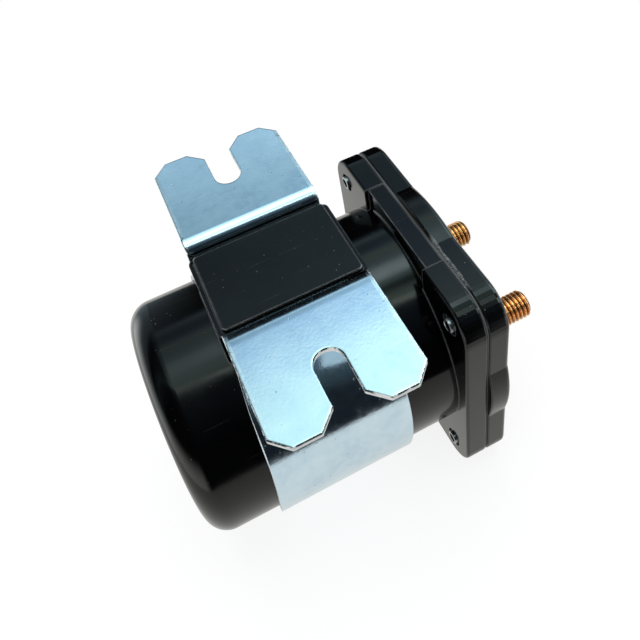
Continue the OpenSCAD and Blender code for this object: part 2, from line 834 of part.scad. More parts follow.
// Rod that carries the contact disc, with a groove for the clip
module push_rod() {
    color("#c4c8cc") turned() {
        ring(0, rod_r, rod_station, clip_station);
        ring(0, groove_r, clip_station - OVERLAP, clip_station + clip_t + OVERLAP);
        ring(0, rod_r, clip_station + clip_t, rod_tip);
    }
}

// Collar on the rod behind the contact spring
module spring_collar() {
    color("#8f949a") turned() ring(rod_r, collar_d / 2, collar_station, contact_spring_station);
}

// Open clip in the rod's groove
module rod_clip() {
    color("#6f757b") along(clip_station + fit_gap / 2, clip_t - fit_gap) difference() {
        circle(clip_d / 2);
        circle(groove_r);
        translate([-groove_r, 0]) square([2 * groove_r, clip_d]);
    }
}

// Spring that pushes the plunger back
module return_spring() {
    color("#b5b9bd") on_axis() translate([0, 0, plunger_end])
        coil_spring(return_spring_d, return_wire_d, core_station + spring_seat - plunger_end, return_turns);
}

// Copper disc that bridges the two studs
module contact_disc() {
    color("#c97b45") turned() ring(sleeve_r + fit_gap, disc_d / 2, disc_station, contact_front);
}

// Insulating bush with a sleeve through the contact disc
module rear_bush() {
    color("#d9d2bd") turned() {
        ring(rod_bore_r, bush_d / 2, bush_station, disc_station);
        ring(rod_bore_r, sleeve_r, bush_station, contact_front);
    }
}

// Insulating washer in front of the contact disc
module front_bush() {
    color("#d9d2bd") turned() ring(rod_bore_r, bush_d / 2, contact_front, clip_station);
}

// Spring that presses the contact disc on the studs
module contact_spring() {
    color("#b5b9bd") on_axis() translate([0, 0, contact_spring_station])
        coil_spring(contact_spring_d, contact_wire_d, contact_spring_l, contact_turns);
}

housing();
top_pad();
mounting_bracket();
terminal_cover();
gasket();
flange_screws();
near_stud();
far_stud();
stud_seals();
stud_washers();
stud_nuts();
coil_terminals();
coil_terminal_nuts();
left_coil_lead();
right_coil_lead();
rear_cushion();
yoke_shell();
front_pole_plate();
pole_core();
guide_tube();
coil_bobbin();
coil_winding();
spacer_sleeve();
plunger_bumper();
plunger();
push_rod();
spring_collar();
rod_clip();
return_spring();
contact_disc();
rear_bush();
front_bush();
contact_spring();
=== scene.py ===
"""Looks of a battery isolator relay: a black moulded can with a square flange and cover, a folded
zinc-plated bracket with two slotted ears, and threaded copper studs.

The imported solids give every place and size. The classes below build the pieces that need more than a
plain solid, and dress all of them with procedural materials. Lengths are in metres.
"""

import json
import logging
import math
from dataclasses import dataclass
from enum import Enum

import bmesh
import bpy
from mathutils import Matrix, Vector

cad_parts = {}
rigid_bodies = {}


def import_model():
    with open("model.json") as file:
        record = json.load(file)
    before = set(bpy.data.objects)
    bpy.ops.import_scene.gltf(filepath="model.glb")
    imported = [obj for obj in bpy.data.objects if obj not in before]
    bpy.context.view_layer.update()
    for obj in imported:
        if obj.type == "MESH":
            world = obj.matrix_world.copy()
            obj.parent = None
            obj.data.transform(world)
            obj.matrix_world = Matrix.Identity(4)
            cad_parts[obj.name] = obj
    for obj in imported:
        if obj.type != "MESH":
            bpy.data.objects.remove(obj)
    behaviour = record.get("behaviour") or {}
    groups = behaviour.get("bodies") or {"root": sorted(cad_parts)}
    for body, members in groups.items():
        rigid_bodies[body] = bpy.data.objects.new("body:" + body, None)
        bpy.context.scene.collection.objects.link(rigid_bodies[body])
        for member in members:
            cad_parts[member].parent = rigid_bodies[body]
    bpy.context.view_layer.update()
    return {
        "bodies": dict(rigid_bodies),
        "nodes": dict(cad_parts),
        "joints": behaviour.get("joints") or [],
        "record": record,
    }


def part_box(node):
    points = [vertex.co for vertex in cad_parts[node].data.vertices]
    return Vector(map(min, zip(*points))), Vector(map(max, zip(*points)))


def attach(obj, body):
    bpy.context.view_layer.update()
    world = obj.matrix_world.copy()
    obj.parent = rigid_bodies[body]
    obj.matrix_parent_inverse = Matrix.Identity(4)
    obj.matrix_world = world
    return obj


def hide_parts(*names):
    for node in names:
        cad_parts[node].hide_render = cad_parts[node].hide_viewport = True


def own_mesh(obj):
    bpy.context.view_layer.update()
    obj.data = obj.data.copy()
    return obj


MM = 0.001
LOG = logging.getLogger("battery_isolator_relay")

Colour = tuple[float, float, float]
Stops = tuple[tuple[float, tuple[float, float, float]], ...]
Point = tuple[float, float, float]
Pair = tuple[float, float]


class Body(Enum):
    """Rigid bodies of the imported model."""

    FRAME = "frame"
    PLUNGER = "plunger"
    CONTACT = "contact"


class Piece(Enum):
    """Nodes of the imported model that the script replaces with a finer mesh."""

    BRACKET = "mounting_bracket"
    NEAR_STUD = "near_stud"
    FAR_STUD = "far_stud"
    STUD_NUTS = "stud_nuts"
    STUD_WASHERS = "stud_washers"
    COIL_TERMINALS = "coil_terminals"
    COIL_NUTS = "coil_terminal_nuts"
    FLANGE_SCREWS = "flange_screws"
    RETURN_SPRING = "return_spring"
    CONTACT_SPRING = "contact_spring"


# ---------------------------------------------------------------- layout


@dataclass(frozen=True)
class Layout:
    """Main stations along the can's axis and heights over it, as in the solids."""

    length: float = 101.4 * MM
    axis_height: float = 36.8 * MM
    flange_back: float = 70.0 * MM
    cover_face: float = 82.5 * MM
    stud_pitch: float = 30.9 * MM
    coil_pitch: float = 19.0 * MM
    coil_drop: float = 20.0 * MM
    screw_pitch: float = 56.0 * MM
    bracket_station: float = 20.6 * MM
    bracket_width: float = 36.0 * MM
    ear_height: float = 44.2 * MM

    def placed(self) -> Matrix:
        """Returns the matrix that lays a piece drawn along +Z on the main axis, with its x across the part."""
        turn = Matrix(((0, 0, 1, 0), (1, 0, 0, 0), (0, 1, 0, 0), (0, 0, 0, 1)))
        return Matrix.Translation((-self.length / 2, 0, self.axis_height)) @ turn


LAYOUT = Layout()


# ---------------------------------------------------------------- node helpers


class Wiring:
    """Adds nodes to a node tree and links them in one call."""

    def __init__(self, tree: bpy.types.NodeTree) -> None:
        """Keeps the tree that the nodes go into."""
        self.tree = tree

    def add(self, kind: str, inputs: dict | None = None, **settings) -> bpy.types.Node:
        """Adds one node.

        Args:
            kind: Blender's type name of the node.
            inputs: value or output socket for each input, by its name or number.
            settings: properties of the node itself.

        Returns:
            The new node.
        """
        node = self.tree.nodes.new(kind)
        for name, value in settings.items():
            setattr(node, name, value)
        for key, value in (inputs or {}).items():
            socket = node.inputs[key]
            if isinstance(value, bpy.types.NodeSocket):
                self.tree.links.new(value, socket)
            else:
                socket.default_value = value
        return node

    def math(self, operation: str, *values, clamp: bool = False) -> bpy.types.NodeSocket:
        """Adds a Math node.

        Args:
            operation: the node's operation.
            values: numbers or sockets for its inputs, in order.
            clamp: limits the result to 0 and 1.

        Returns:
            The node's output.
        """
        inputs = dict(enumerate(values))
        return self.add("ShaderNodeMath", inputs, operation=operation, use_clamp=clamp).outputs[0]

    def ramp(self, value: bpy.types.NodeSocket, low: float, high: float, to: Pair = (0.0, 1.0)) -> bpy.types.NodeSocket:
        """Adds a clamped, softened Map Range node.

        Args:
            value: the number that is mapped.
            low: where the ramp starts.
            high: where it ends.
            to: the two results.

        Returns:
            The mapped number.
        """
        inputs = {"Value": value, "From Min": low, "From Max": high, "To Min": to[0], "To Max": to[1]}
        return self.add("ShaderNodeMapRange", inputs, interpolation_type="SMOOTHSTEP").outputs["Result"]

    def mix(self, factor, low, high, blend: str = "MIX") -> bpy.types.NodeSocket:
        """Adds a colour Mix node.

        Args:
            factor: share of the second colour.
            low: first colour, as a value or a socket.
            high: second colour, as a value or a socket.
            blend: how the two are mixed.

        Returns:
            The mixed colour.
        """
        node = self.add("ShaderNodeMix", data_type="RGBA", blend_type=blend)
        for socket, value in zip((node.inputs[0], node.inputs[6], node.inputs[7]), (factor, low, high)):
            if isinstance(value, bpy.types.NodeSocket):
                self.tree.links.new(value, socket)
            else:
                socket.default_value = value
        return node.outputs[2]


def rgba(colour: Colour) -> tuple[float, float, float, float]:
    """Returns a colour with full alpha."""
    return (*colour, 1.0)


@dataclass(frozen=True)
class GroupSocket:
    """One named input or output of a shader node group."""

    name: str
    kind: str = "NodeSocketFloat"
    value: float | None = None


def shader_group(name: str, inputs: list[GroupSocket], outputs: list[GroupSocket]) -> tuple[Wiring, bpy.types.Node, bpy.types.Node]:
    """Starts a shader node group.

    Args:
        name: the group's name.
        inputs: its input sockets.
        outputs: its output sockets.

    Returns:
        The wiring of the new tree, its input node and its output node.
    """
    tree = bpy.data.node_groups.new(name, "ShaderNodeTree")
    for sockets, side in ((inputs, "INPUT"), (outputs, "OUTPUT")):
        for socket in sockets:
            made = tree.interface.new_socket(name=socket.name, in_out=side, socket_type=socket.kind)
            if socket.value is not None:
                made.default_value = socket.value
    wiring = Wiring(tree)
    return wiring, wiring.add("NodeGroupInput"), wiring.add("NodeGroupOutput")


def object_noise(wiring: Wiring, scale, detail: float, rough: float = 0.5, stretch: Point | None = None) -> bpy.types.NodeSocket:
    """Adds noise on the piece's own coordinates.

    Args:
        wiring: the tree's wiring.
        scale: size of the noise, as a value or a socket.
        detail: number of finer layers.
        rough: weight of the finer layers.
        stretch: scale of each axis, for streaks.

    Returns:
        The noise value.
    """
    place = wiring.add("ShaderNodeTexCoord").outputs["Object"]
    if stretch is not None:
        place = wiring.add("ShaderNodeMapping", {"Vector": place, "Scale": stretch}).outputs[0]
    inputs = {"Vector": place, "Scale": scale, "Detail": detail, "Roughness": rough}
    return wiring.add("ShaderNodeTexNoise", inputs).outputs[0]


def build_cloud_group() -> bpy.types.NodeTree:
    """Builds the group for soft clouds of tone: two sizes of noise with a set contrast."""
    wiring, start, end = shader_group(
        "soft clouds",
        [GroupSocket("Scale", value=80.0), GroupSocket("Fine Scale", value=600.0), GroupSocket("Contrast", value=1.0)],
        [GroupSocket("Mask"), GroupSocket("Fine")],
    )
    broad = object_noise(wiring, start.outputs["Scale"], 3.0)
    fine = object_noise(wiring, start.outputs["Fine Scale"], 4.0, 0.6)
    centred = wiring.math("SUBTRACT", broad, 0.5)
    spread = wiring.math("MULTIPLY_ADD", centred, wiring.math("MULTIPLY", start.outputs["Contrast"], 3.0), 0.5, clamp=True)
    wiring.tree.links.new(spread, end.inputs["Mask"])
    wiring.tree.links.new(fine, end.inputs["Fine"])
    return wiring.tree


def build_dust_group() -> bpy.types.NodeTree:
    """Builds the group for dust: small pale specks, thinned out by a broad noise."""
    wiring, start, end = shader_group(
        "dust specks",
        [GroupSocket("Scale", value=900.0), GroupSocket("Size", value=0.12), GroupSocket("Amount", value=0.3)],
        [GroupSocket("Mask")],
    )
    place = wiring.add("ShaderNodeTexCoord").outputs["Object"]
    cells = wiring.add("ShaderNodeTexVoronoi", {"Vector": place, "Scale": start.outputs["Scale"], "Randomness": 1.0})
    speck = wiring.ramp(cells.outputs["Distance"], 0.0, 1.0)
    inside = wiring.math("LESS_THAN", speck, start.outputs["Size"])
    chance = wiring.add("ShaderNodeSeparateColor", {0: cells.outputs["Color"]}).outputs[0]
    chosen = wiring.math("LESS_THAN", chance, start.outputs["Amount"])
    patches = wiring.ramp(object_noise(wiring, 60.0, 2.0), 0.35, 0.7)
    mask = wiring.math("MULTIPLY", wiring.math("MULTIPLY", inside, chosen), patches)
    wiring.tree.links.new(mask, end.inputs["Mask"])
    return wiring.tree


def build_scratch_group() -> bpy.types.NodeTree:
    """Builds the group for scratches: long thin specks in several directions, with some left out."""
    wiring, start, end = shader_group(
        "fine scratches",
        [GroupSocket("Scale", value=900.0), GroupSocket("Thinness", value=0.06), GroupSocket("Amount", value=0.5)],
        [GroupSocket("Mask")],
    )
    place = wiring.add("ShaderNodeTexCoord").outputs["Object"]
    total = None
    for turn, tilt in ((0.5, 0.02), (1.9, -0.03), (2.7, 0.9)):
        turned = wiring.add("ShaderNodeMapping", {"Vector": place, "Rotation": (0.0, tilt, turn), "Scale": (0.018, 1.0, 1.0)})
        cells = wiring.add("ShaderNodeTexVoronoi", {"Vector": turned.outputs[0], "Scale": start.outputs["Scale"]})
        line = wiring.math("LESS_THAN", cells.outputs["Distance"], start.outputs["Thinness"])
        chance = wiring.add("ShaderNodeSeparateColor", {0: cells.outputs["Color"]}).outputs[0]
        part = wiring.math("MULTIPLY", line, wiring.math("LESS_THAN", chance, 0.5 + 0.1 * turn))
        total = part if total is None else wiring.math("MAXIMUM", total, part)
    mask = wiring.math("MULTIPLY", total, start.outputs["Amount"])
    wiring.tree.links.new(mask, end.inputs["Mask"])
    return wiring.tree


def build_edge_group() -> bpy.types.NodeTree:
    """Builds the group for edges: a softened normal, and a mask where it leaves the surface's own."""
    wiring, start, end = shader_group(
        "soft edges",
        [GroupSocket("Radius", value=0.00025), GroupSocket("Reach", value=0.0007), GroupSocket("Wear", value=0.5)],
        [GroupSocket("Mask"), GroupSocket("Normal", "NodeSocketVector")],
    )
    soft = wiring.add("ShaderNodeBevel", {"Radius": start.outputs["Radius"]}, samples=6).outputs[0]
    wide = wiring.add("ShaderNodeBevel", {"Radius": start.outputs["Reach"]}, samples=10).outputs[0]
    own = wiring.add("ShaderNodeNewGeometry").outputs["Normal"]
    match = wiring.add("ShaderNodeVectorMath", {0: wide, 1: own}, operation="DOT_PRODUCT").outputs["Value"]
    turned = wiring.ramp(wiring.math("SUBTRACT", 1.0, match), 0.008, 0.06)
    uneven = wiring.ramp(object_noise(wiring, 180.0, 3.0), 0.3, 0.65, (0.35, 1.0))
    # The mask gives pale edge lines, partly wear and partly painted highlight.
    mask = wiring.math("MULTIPLY", wiring.math("MULTIPLY", turned, uneven), start.outputs["Wear"])
    wiring.tree.links.new(mask, end.inputs["Mask"])
    wiring.tree.links.new(soft, end.inputs["Normal"])
    return wiring.tree


class Effects:
    """The shared shader node groups, each built once."""

    def __init__(self) -> None:
        """Builds every group."""
        self.clouds = build_cloud_group()
        self.dust = build_dust_group()
        self.scratches = build_scratch_group()
        self.edges = build_edge_group()

    @staticmethod
    def place(wiring: Wiring, tree: bpy.types.NodeTree, **values: float) -> bpy.types.Node:
        """Puts a group in a material.

        Args:
            wiring: the material's wiring.
            tree: the group.
            values: its inputs, with underscores for spaces.

        Returns:
            The group node.
        """
        node = wiring.add("ShaderNodeGroup", node_tree=tree)
        for name, value in values.items():
            node.inputs[name.replace("_", " ").title()].default_value = value
        return node


# ---------------------------------------------------------------- finishes


def fresh_material(name: str) -> tuple[bpy.types.Material, Wiring, bpy.types.Node]:
    """Starts a material with one Principled shader.

    Args:
        name: the material's name.

    Returns:
        The material, its wiring and its shader node.
    """
    material = bpy.data.materials.new(name)
    material.use_nodes = True
    material.node_tree.nodes.clear()
    wiring = Wiring(material.node_tree)
    shader = wiring.add("ShaderNodeBsdfPrincipled")
    wiring.add("ShaderNodeOutputMaterial", {"Surface": shader.outputs[0]})
    return material, wiring, shader


@dataclass(frozen=True)
class MouldedPlastic:
    """Black moulded plastic with a fine skin, faint scratches, dust, and pale edge lines that are partly wear and
    partly painted highlight.
    """

    name: str
    colour: Colour
    pale: Colour = (0.16, 0.15, 0.14)
    roughness: float = 0.14
    spread: float = 0.08
    specular: float = 0.27
    skin_height: float = 0.012
    skin_scale: float = 500.0
    dust: float = 0.02
    dust_scale: float = 1500.0
    scratches: float = 0.07
    reach: float = 0.7 * MM
    edge_highlight_and_wear: float = 0.6
    edge_highlight_and_wear_colour: Colour = (0.19, 0.205, 0.21)
    flash_along: Pair = (0.0, 0.0)
    flash_across: Pair = (0.0, 0.0)

    def flash(self, wiring: Wiring) -> bpy.types.NodeSocket:
        """Returns 1 on the ragged flakes along a stretch of the joint."""
        place = wiring.add("ShaderNodeSeparateXYZ", {0: wiring.add("ShaderNodeTexCoord").outputs["Object"]}).outputs
        ragged = wiring.math("MULTIPLY_ADD", object_noise(wiring, 260.0, 2.0), -1.1 * MM, self.flash_along[1] + 0.3 * MM)
        near_joint = wiring.ramp(wiring.math("SUBTRACT", place["X"], ragged), 0.1 * MM, 0.0)
        first, last = self.flash_across
        stretch = wiring.math("MULTIPLY", wiring.ramp(place["Y"], first, first + 3.0 * MM), wiring.ramp(place["Y"], last, last - 3.0 * MM))
        flakes = wiring.ramp(object_noise(wiring, 2600.0, 3.0, 0.6), 0.30, 0.72)
        return wiring.math("MULTIPLY", wiring.math("MULTIPLY", near_joint, stretch), flakes)

    def build(self, effects: Effects) -> bpy.types.Material:
        """Returns the finished material."""
        material, wiring, shader = fresh_material(self.name)
        clouds = effects.place(wiring, effects.clouds, scale=70.0, fine_scale=self.skin_scale, contrast=1.0)
        dust = effects.place(wiring, effects.dust, scale=self.dust_scale, amount=self.dust)
        marks = effects.place(wiring, effects.scratches, amount=self.scratches)
        marked = wiring.math("MAXIMUM", dust.outputs[0], marks.outputs[0])
        deeper = tuple(c * 0.6 for c in self.colour)
        tone = wiring.mix(clouds.outputs["Mask"], rgba(deeper), rgba(self.colour))
        edges = effects.place(wiring, effects.edges, reach=self.reach, wear=self.edge_highlight_and_wear)
        # Pale edge lines: partly edge wear, partly painted highlight.
        tone = wiring.mix(edges.outputs["Mask"], tone, rgba(self.edge_highlight_and_wear_colour))
        if self.flash_along[1]:
            tone = wiring.mix(self.flash(wiring), tone, (0.21, 0.225, 0.225, 1.0))
        wiring.tree.links.new(wiring.mix(marked, tone, rgba(self.pale)), shader.inputs["Base Color"])
        rough = wiring.math("MULTIPLY_ADD", clouds.outputs["Mask"], self.spread, self.roughness - self.spread / 2)
        rough = wiring.math("MULTIPLY_ADD", marked, 0.35, rough, clamp=True)
        wiring.tree.links.new(rough, shader.inputs["Roughness"])
        shader.inputs["Specular IOR Level"].default_value = self.specular
        inputs = {"Strength": 0.5, "Distance": self.skin_height * MM, "Height": clouds.outputs["Fine"]}
        inputs["Normal"] = edges.outputs["Normal"]
        bump = wiring.add("ShaderNodeBump", inputs)
        wiring.tree.links.new(bump.outputs[0], shader.inputs["Normal"])
        return material


@dataclass(frozen=True)
class PlatedSheet:
    """Zinc-plated steel sheet: cloudy pale blue with pits, stains and scratches, and painted shade at the foot of the
    near ear's bend.
    """

    name: str
    light: Colour
    dark: Colour
    stain: Colour
    rubbed_and_highlight: Colour = (0.86, 0.93, 0.94)
    roughness: float = 0.13
    spread: float = 0.06
    scratches: float = 0.6
    middle: float = 0.0
    border: Pair = (0.0, 0.0)
    ears: Pair = (0.0, 0.0)
    crease_shade: Pair = (0.0, 0.0)

    def build(self, effects: Effects) -> bpy.types.Material:
        """Returns the finished material."""
        material, wiring, shader = fresh_material(self.name)
        clouds = effects.place(wiring, effects.clouds, scale=140.0, fine_scale=1500.0, contrast=1.0)
        mottle = effects.place(wiring, effects.clouds, scale=420.0, fine_scale=1300.0, contrast=0.9)
        marks = effects.place(wiring, effects.scratches, scale=700.0, thinness=0.06, amount=self.scratches)
        pits = effects.place(wiring, effects.dust, scale=520.0, size=0.04, amount=0.5)
        edges = effects.place(wiring, effects.edges, radius=0.55 * MM, reach=0.4 * MM, wear=0.45)
        tone = wiring.mix(clouds.outputs["Mask"], rgba(self.dark), rgba(self.light))
        grain = wiring.ramp(mottle.outputs["Mask"], 0.2, 0.9, (0.0, 0.6))
        tone = wiring.mix(grain, tone, rgba(self.light))
        stained = wiring.ramp(object_noise(wiring, 120.0, 5.0, 0.65), 0.60, 0.78, (0.0, 0.5))
        tone = wiring.mix(stained, tone, rgba(self.stain))
        tone = wiring.mix(wiring.math("MULTIPLY", pits.outputs[0], 0.6), tone, (0.12, 0.14, 0.15, 1.0))
        place = wiring.add("ShaderNodeSeparateXYZ", {0: wiring.add("ShaderNodeTexCoord").outputs["Object"]}).outputs
        across = wiring.math("ABSOLUTE", wiring.math("SUBTRACT", place["X"], self.middle))
        flecks = object_noise(wiring, 340.0, 5.0, 0.75)
        band = wiring.math("MULTIPLY", wiring.ramp(across, *self.border), wiring.ramp(place["Z"], *self.ears))
        rolled = wiring.math("MULTIPLY", band, wiring.ramp(flecks, 0.3, 0.7, (0.1, 0.8)))
        # The rolled band is burnished sheet; the edge mask adds pale lines, partly wear and partly painted highlight.
        tone = wiring.mix(wiring.math("MAXIMUM", rolled, edges.outputs["Mask"]), tone, rgba(self.rubbed_and_highlight))
        nicks = wiring.math("MULTIPLY", band, wiring.ramp(object_noise(wiring, 260.0, 5.0, 0.8), 0.40, 0.34, (0.0, 0.7)))
        tone = wiring.mix(nicks, tone, (0.16, 0.19, 0.20, 1.0))
        # Painted shade: near-black at the top of the near leg and the foot of its ear's bend.
        crease_shade = wiring.ramp(wiring.math("ABSOLUTE", place["Y"]), *self.crease_shade, (0.92, 0.0))
        crease_shade = wiring.math("MULTIPLY", crease_shade, wiring.ramp(place["Z"], self.ears[0] - 4.0 * MM, self.ears[0] - 2.0 * MM))
        crease_shade = wiring.math("MULTIPLY", crease_shade, wiring.ramp(place["Y"], 0.0, -1.0 * MM))
        tone = wiring.mix(crease_shade, tone, (0.015, 0.02, 0.02, 1.0))
        tone = wiring.mix(wiring.math("MULTIPLY", marks.outputs[0], 0.5), tone, (0.95, 0.98, 1.0, 1.0))
        wiring.tree.links.new(tone, shader.inputs["Base Color"])
        rough = wiring.math("MULTIPLY_ADD", mottle.outputs["Mask"], self.spread, self.roughness - self.spread / 2)
        rough = wiring.math("MULTIPLY_ADD", wiring.math("MAXIMUM", stained, rolled), 0.3, rough, clamp=True)
        wiring.tree.links.new(rough, shader.inputs["Roughness"])
        shader.inputs["Metallic"].default_value = 1.0
        height = wiring.math("SUBTRACT", wiring.math("MULTIPLY", mottle.outputs["Fine"], 0.7), pits.outputs[0])
        wave = object_noise(wiring, 22.0, 1.0)
        height = wiring.math("MULTIPLY_ADD", wave, 6.0, height)
        inputs = {"Strength": 0.9, "Distance": 0.02 * MM, "Height": height, "Normal": edges.outputs["Normal"]}
        wiring.tree.links.new(wiring.add("ShaderNodeBump", inputs).outputs[0], shader.inputs["Normal"])
        return material


@dataclass(frozen=True)
class BareMetal:
    """Turned or drawn metal with streaks, tarnish and a little tone variation."""

    name: str
    light: Colour
    dark: Colour
    roughness: float = 0.3
    spread: float = 0.15
    tarnish: float = 0.4
    streaks: Point = (1.0, 1.0, 1.0)
    streak_scale: float = 400.0
    bump: float = 0.01
    metallic: float = 1.0
    burr: Pair = (0.0, 0.0)

    def build(self, effects: Effects) -> bpy.types.Material:
        """Returns the finished material."""
        material, wiring, shader = fresh_material(self.name)
        clouds = effects.place(wiring, effects.clouds, scale=220.0, fine_scale=1400.0, contrast=self.tarnish)
        marks = effects.place(wiring, effects.scratches, scale=1200.0, amount=0.3)
        streaks = object_noise(wiring, self.streak_scale, 3.0, 0.6, self.streaks)
        tone = wiring.mix(clouds.outputs["Mask"], rgba(self.dark), rgba(self.light))
        tone = wiring.mix(wiring.ramp(streaks, 0.3, 0.75, (0.0, 0.5)), tone, rgba(self.light))
        tone = wiring.mix(marks.outputs[0], tone, rgba(self.light))
        if self.burr[1]:
            place = wiring.add("ShaderNodeSeparateXYZ", {0: wiring.add("ShaderNodeTexCoord").outputs["Object"]})
            torn = wiring.ramp(object_noise(wiring, 500.0, 4.0, 0.7), 0.43, 0.52)
            torn = wiring.math("MULTIPLY", torn, wiring.ramp(place.outputs["Z"], *self.burr))
            tone = wiring.mix(torn, tone, (0.01, 0.012, 0.012, 1.0))
        wiring.tree.links.new(tone, shader.inputs["Base Color"])
        rough = wiring.math("MULTIPLY_ADD", streaks, self.spread, self.roughness - self.spread / 2)
        wiring.tree.links.new(rough, shader.inputs["Roughness"])
        shader.inputs["Metallic"].default_value = self.metallic
        inputs = {"Strength": 0.5, "Distance": self.bump * MM, "Height": streaks}
        wiring.tree.links.new(wiring.add("ShaderNodeBump", inputs).outputs[0], shader.inputs["Normal"])
        return material


@dataclass(frozen=True)
class ThreadMetal:
    """Copper alloy thread, coloured by the distance from each stud's axis: bright crests and dark brown roots, whose
    dark is painted shade in the grooves, and a painted greenish reflection on the far stud's lower half.
    """

    name: str
    crest: Colour
    root: Colour
    centres: tuple[Pair, ...]
    crest_radius: float
    root_radius: float
    far_reflection_tint: Colour = (1.0, 1.0, 1.0)
    roughness: float = 0.24

    def build(self, effects: Effects) -> bpy.types.Material:
        """Returns the finished material."""
        material, wiring, shader = fresh_material(self.name)
        place = wiring.add("ShaderNodeSeparateXYZ", {0: wiring.add("ShaderNodeTexCoord").outputs["Object"]})
        nearest = None
        for across, height in self.centres:
            dy = wiring.math("SUBTRACT", place.outputs["Y"], across)
            dz = wiring.math("SUBTRACT", place.outputs["Z"], height)
            squares = wiring.math("ADD", wiring.math("MULTIPLY", dy, dy), wiring.math("MULTIPLY", dz, dz))
            radius = wiring.math("SQRT", squares)
            nearest = radius if nearest is None else wiring.math("MINIMUM", nearest, radius)
        # Painted shade: darker towards the roots, brighter at the crests.
        bright = wiring.ramp(nearest, self.root_radius, self.crest_radius)
        clouds = effects.place(wiring, effects.clouds, scale=300.0, fine_scale=1800.0, contrast=0.8)
        crest_light_and_clouds = wiring.math("MULTIPLY_ADD", clouds.outputs["Mask"], 0.2, wiring.math("MULTIPLY", bright, 0.9), clamp=True)
        tone = wiring.mix(crest_light_and_clouds, rgba(self.root), rgba(self.crest))
        # Painted reflection: the lower half of the far stud is tinted greenish.
        low = wiring.ramp(place.outputs["Z"], self.centres[0][1] + 1.5 * MM, self.centres[0][1] - 0.5 * MM, (0.2, 1.0))
        far = wiring.math("MULTIPLY", wiring.ramp(place.outputs["Y"], -1.0 * MM, 1.0 * MM), low)
        wiring.tree.links.new(wiring.mix(far, tone, rgba(self.far_reflection_tint), "MULTIPLY"), shader.inputs["Base Color"])
        rough = wiring.math("MULTIPLY_ADD", clouds.outputs["Fine"], 0.2, self.roughness - 0.1)
        wiring.tree.links.new(rough, shader.inputs["Roughness"])
        shader.inputs["Metallic"].default_value = 0.9
        inputs = {"Strength": 0.4, "Distance": 0.02 * MM, "Height": clouds.outputs["Fine"]}
        wiring.tree.links.new(wiring.add("ShaderNodeBump", inputs).outputs[0], shader.inputs["Normal"])
        return material


@dataclass(frozen=True)
class SocketSteel:
    """Screw steel with painted shade: near-black in the hollows, by the distance from each screw's axis."""

    name: str
    light: Colour
    dark: Colour
    offset: float
    height: float
    hollow_radius: float
    roughness: float = 0.32

    def build(self, effects: Effects) -> bpy.types.Material:
        """Returns the finished material."""
        material, wiring, shader = fresh_material(self.name)
        place = wiring.add("ShaderNodeSeparateXYZ", {0: wiring.add("ShaderNodeTexCoord").outputs["Object"]})
        across = wiring.math("SUBTRACT", wiring.math("ABSOLUTE", place.outputs["Y"]), self.offset)
        upward = wiring.math("ABSOLUTE", wiring.math("SUBTRACT", place.outputs["Z"], self.height))
        upward = wiring.math("SUBTRACT", upward, self.offset)
        squares = wiring.math("ADD", wiring.math("MULTIPLY", across, across), wiring.math("MULTIPLY", upward, upward))
        radius = wiring.math("SQRT", squares)
        # Painted shade: near-black inside the hollow round each screw's axis.
        rim = wiring.ramp(radius, self.hollow_radius, self.hollow_radius + 0.12 * MM)
        clouds = effects.place(wiring, effects.clouds, scale=420.0, fine_scale=1800.0, contrast=0.9)
        tone = wiring.mix(clouds.outputs["Mask"], rgba(self.light), rgba(tuple(0.6 * c for c in self.light)))
        wiring.tree.links.new(wiring.mix(rim, rgba(self.dark), tone), shader.inputs["Base Color"])
        rough = wiring.math("MULTIPLY_ADD", clouds.outputs["Fine"], 0.25, self.roughness - 0.12)
        wiring.tree.links.new(rough, shader.inputs["Roughness"])
        shader.inputs["Metallic"].default_value = 1.0
        inputs = {"Strength": 0.4, "Distance": 0.015 * MM, "Height": clouds.outputs["Fine"]}
        wiring.tree.links.new(wiring.add("ShaderNodeBump", inputs).outputs[0], shader.inputs["Normal"])
        return material


@dataclass(frozen=True)
class WoundWire:
    """Enamelled wire wound along the main axis, with a groove between the turns."""

    name: str
    light: Colour
    dark: Colour
    pitch: float = 0.6 * MM

    def build(self, effects: Effects) -> bpy.types.Material:
        """Returns the finished material."""
        material, wiring, shader = fresh_material(self.name)
        place = wiring.add("ShaderNodeSeparateXYZ", {0: wiring.add("ShaderNodeTexCoord").outputs["Object"]})
        turns = wiring.math("SINE", wiring.math("MULTIPLY", place.outputs["X"], 2.0 * math.pi / self.pitch))
        clouds = effects.place(wiring, effects.clouds, scale=150.0, fine_scale=900.0, contrast=0.8)
        tone = wiring.mix(clouds.outputs["Mask"], rgba(self.dark), rgba(self.light))
        shade = wiring.ramp(turns, -1.0, 0.4, (0.35, 1.0))
        tone = wiring.mix(shade, (0.02, 0.01, 0.008, 1.0), tone)
        wiring.tree.links.new(tone, shader.inputs["Base Color"])
        wiring.tree.links.new(wiring.ramp(clouds.outputs["Fine"], 0.3, 0.7, (0.25, 0.42)), shader.inputs["Roughness"])
        shader.inputs["Metallic"].default_value = 0.8
        inputs = {"Strength": 0.8, "Distance": 0.12 * MM, "Height": turns}
        wiring.tree.links.new(wiring.add("ShaderNodeBump", inputs).outputs[0], shader.inputs["Normal"])
        return material


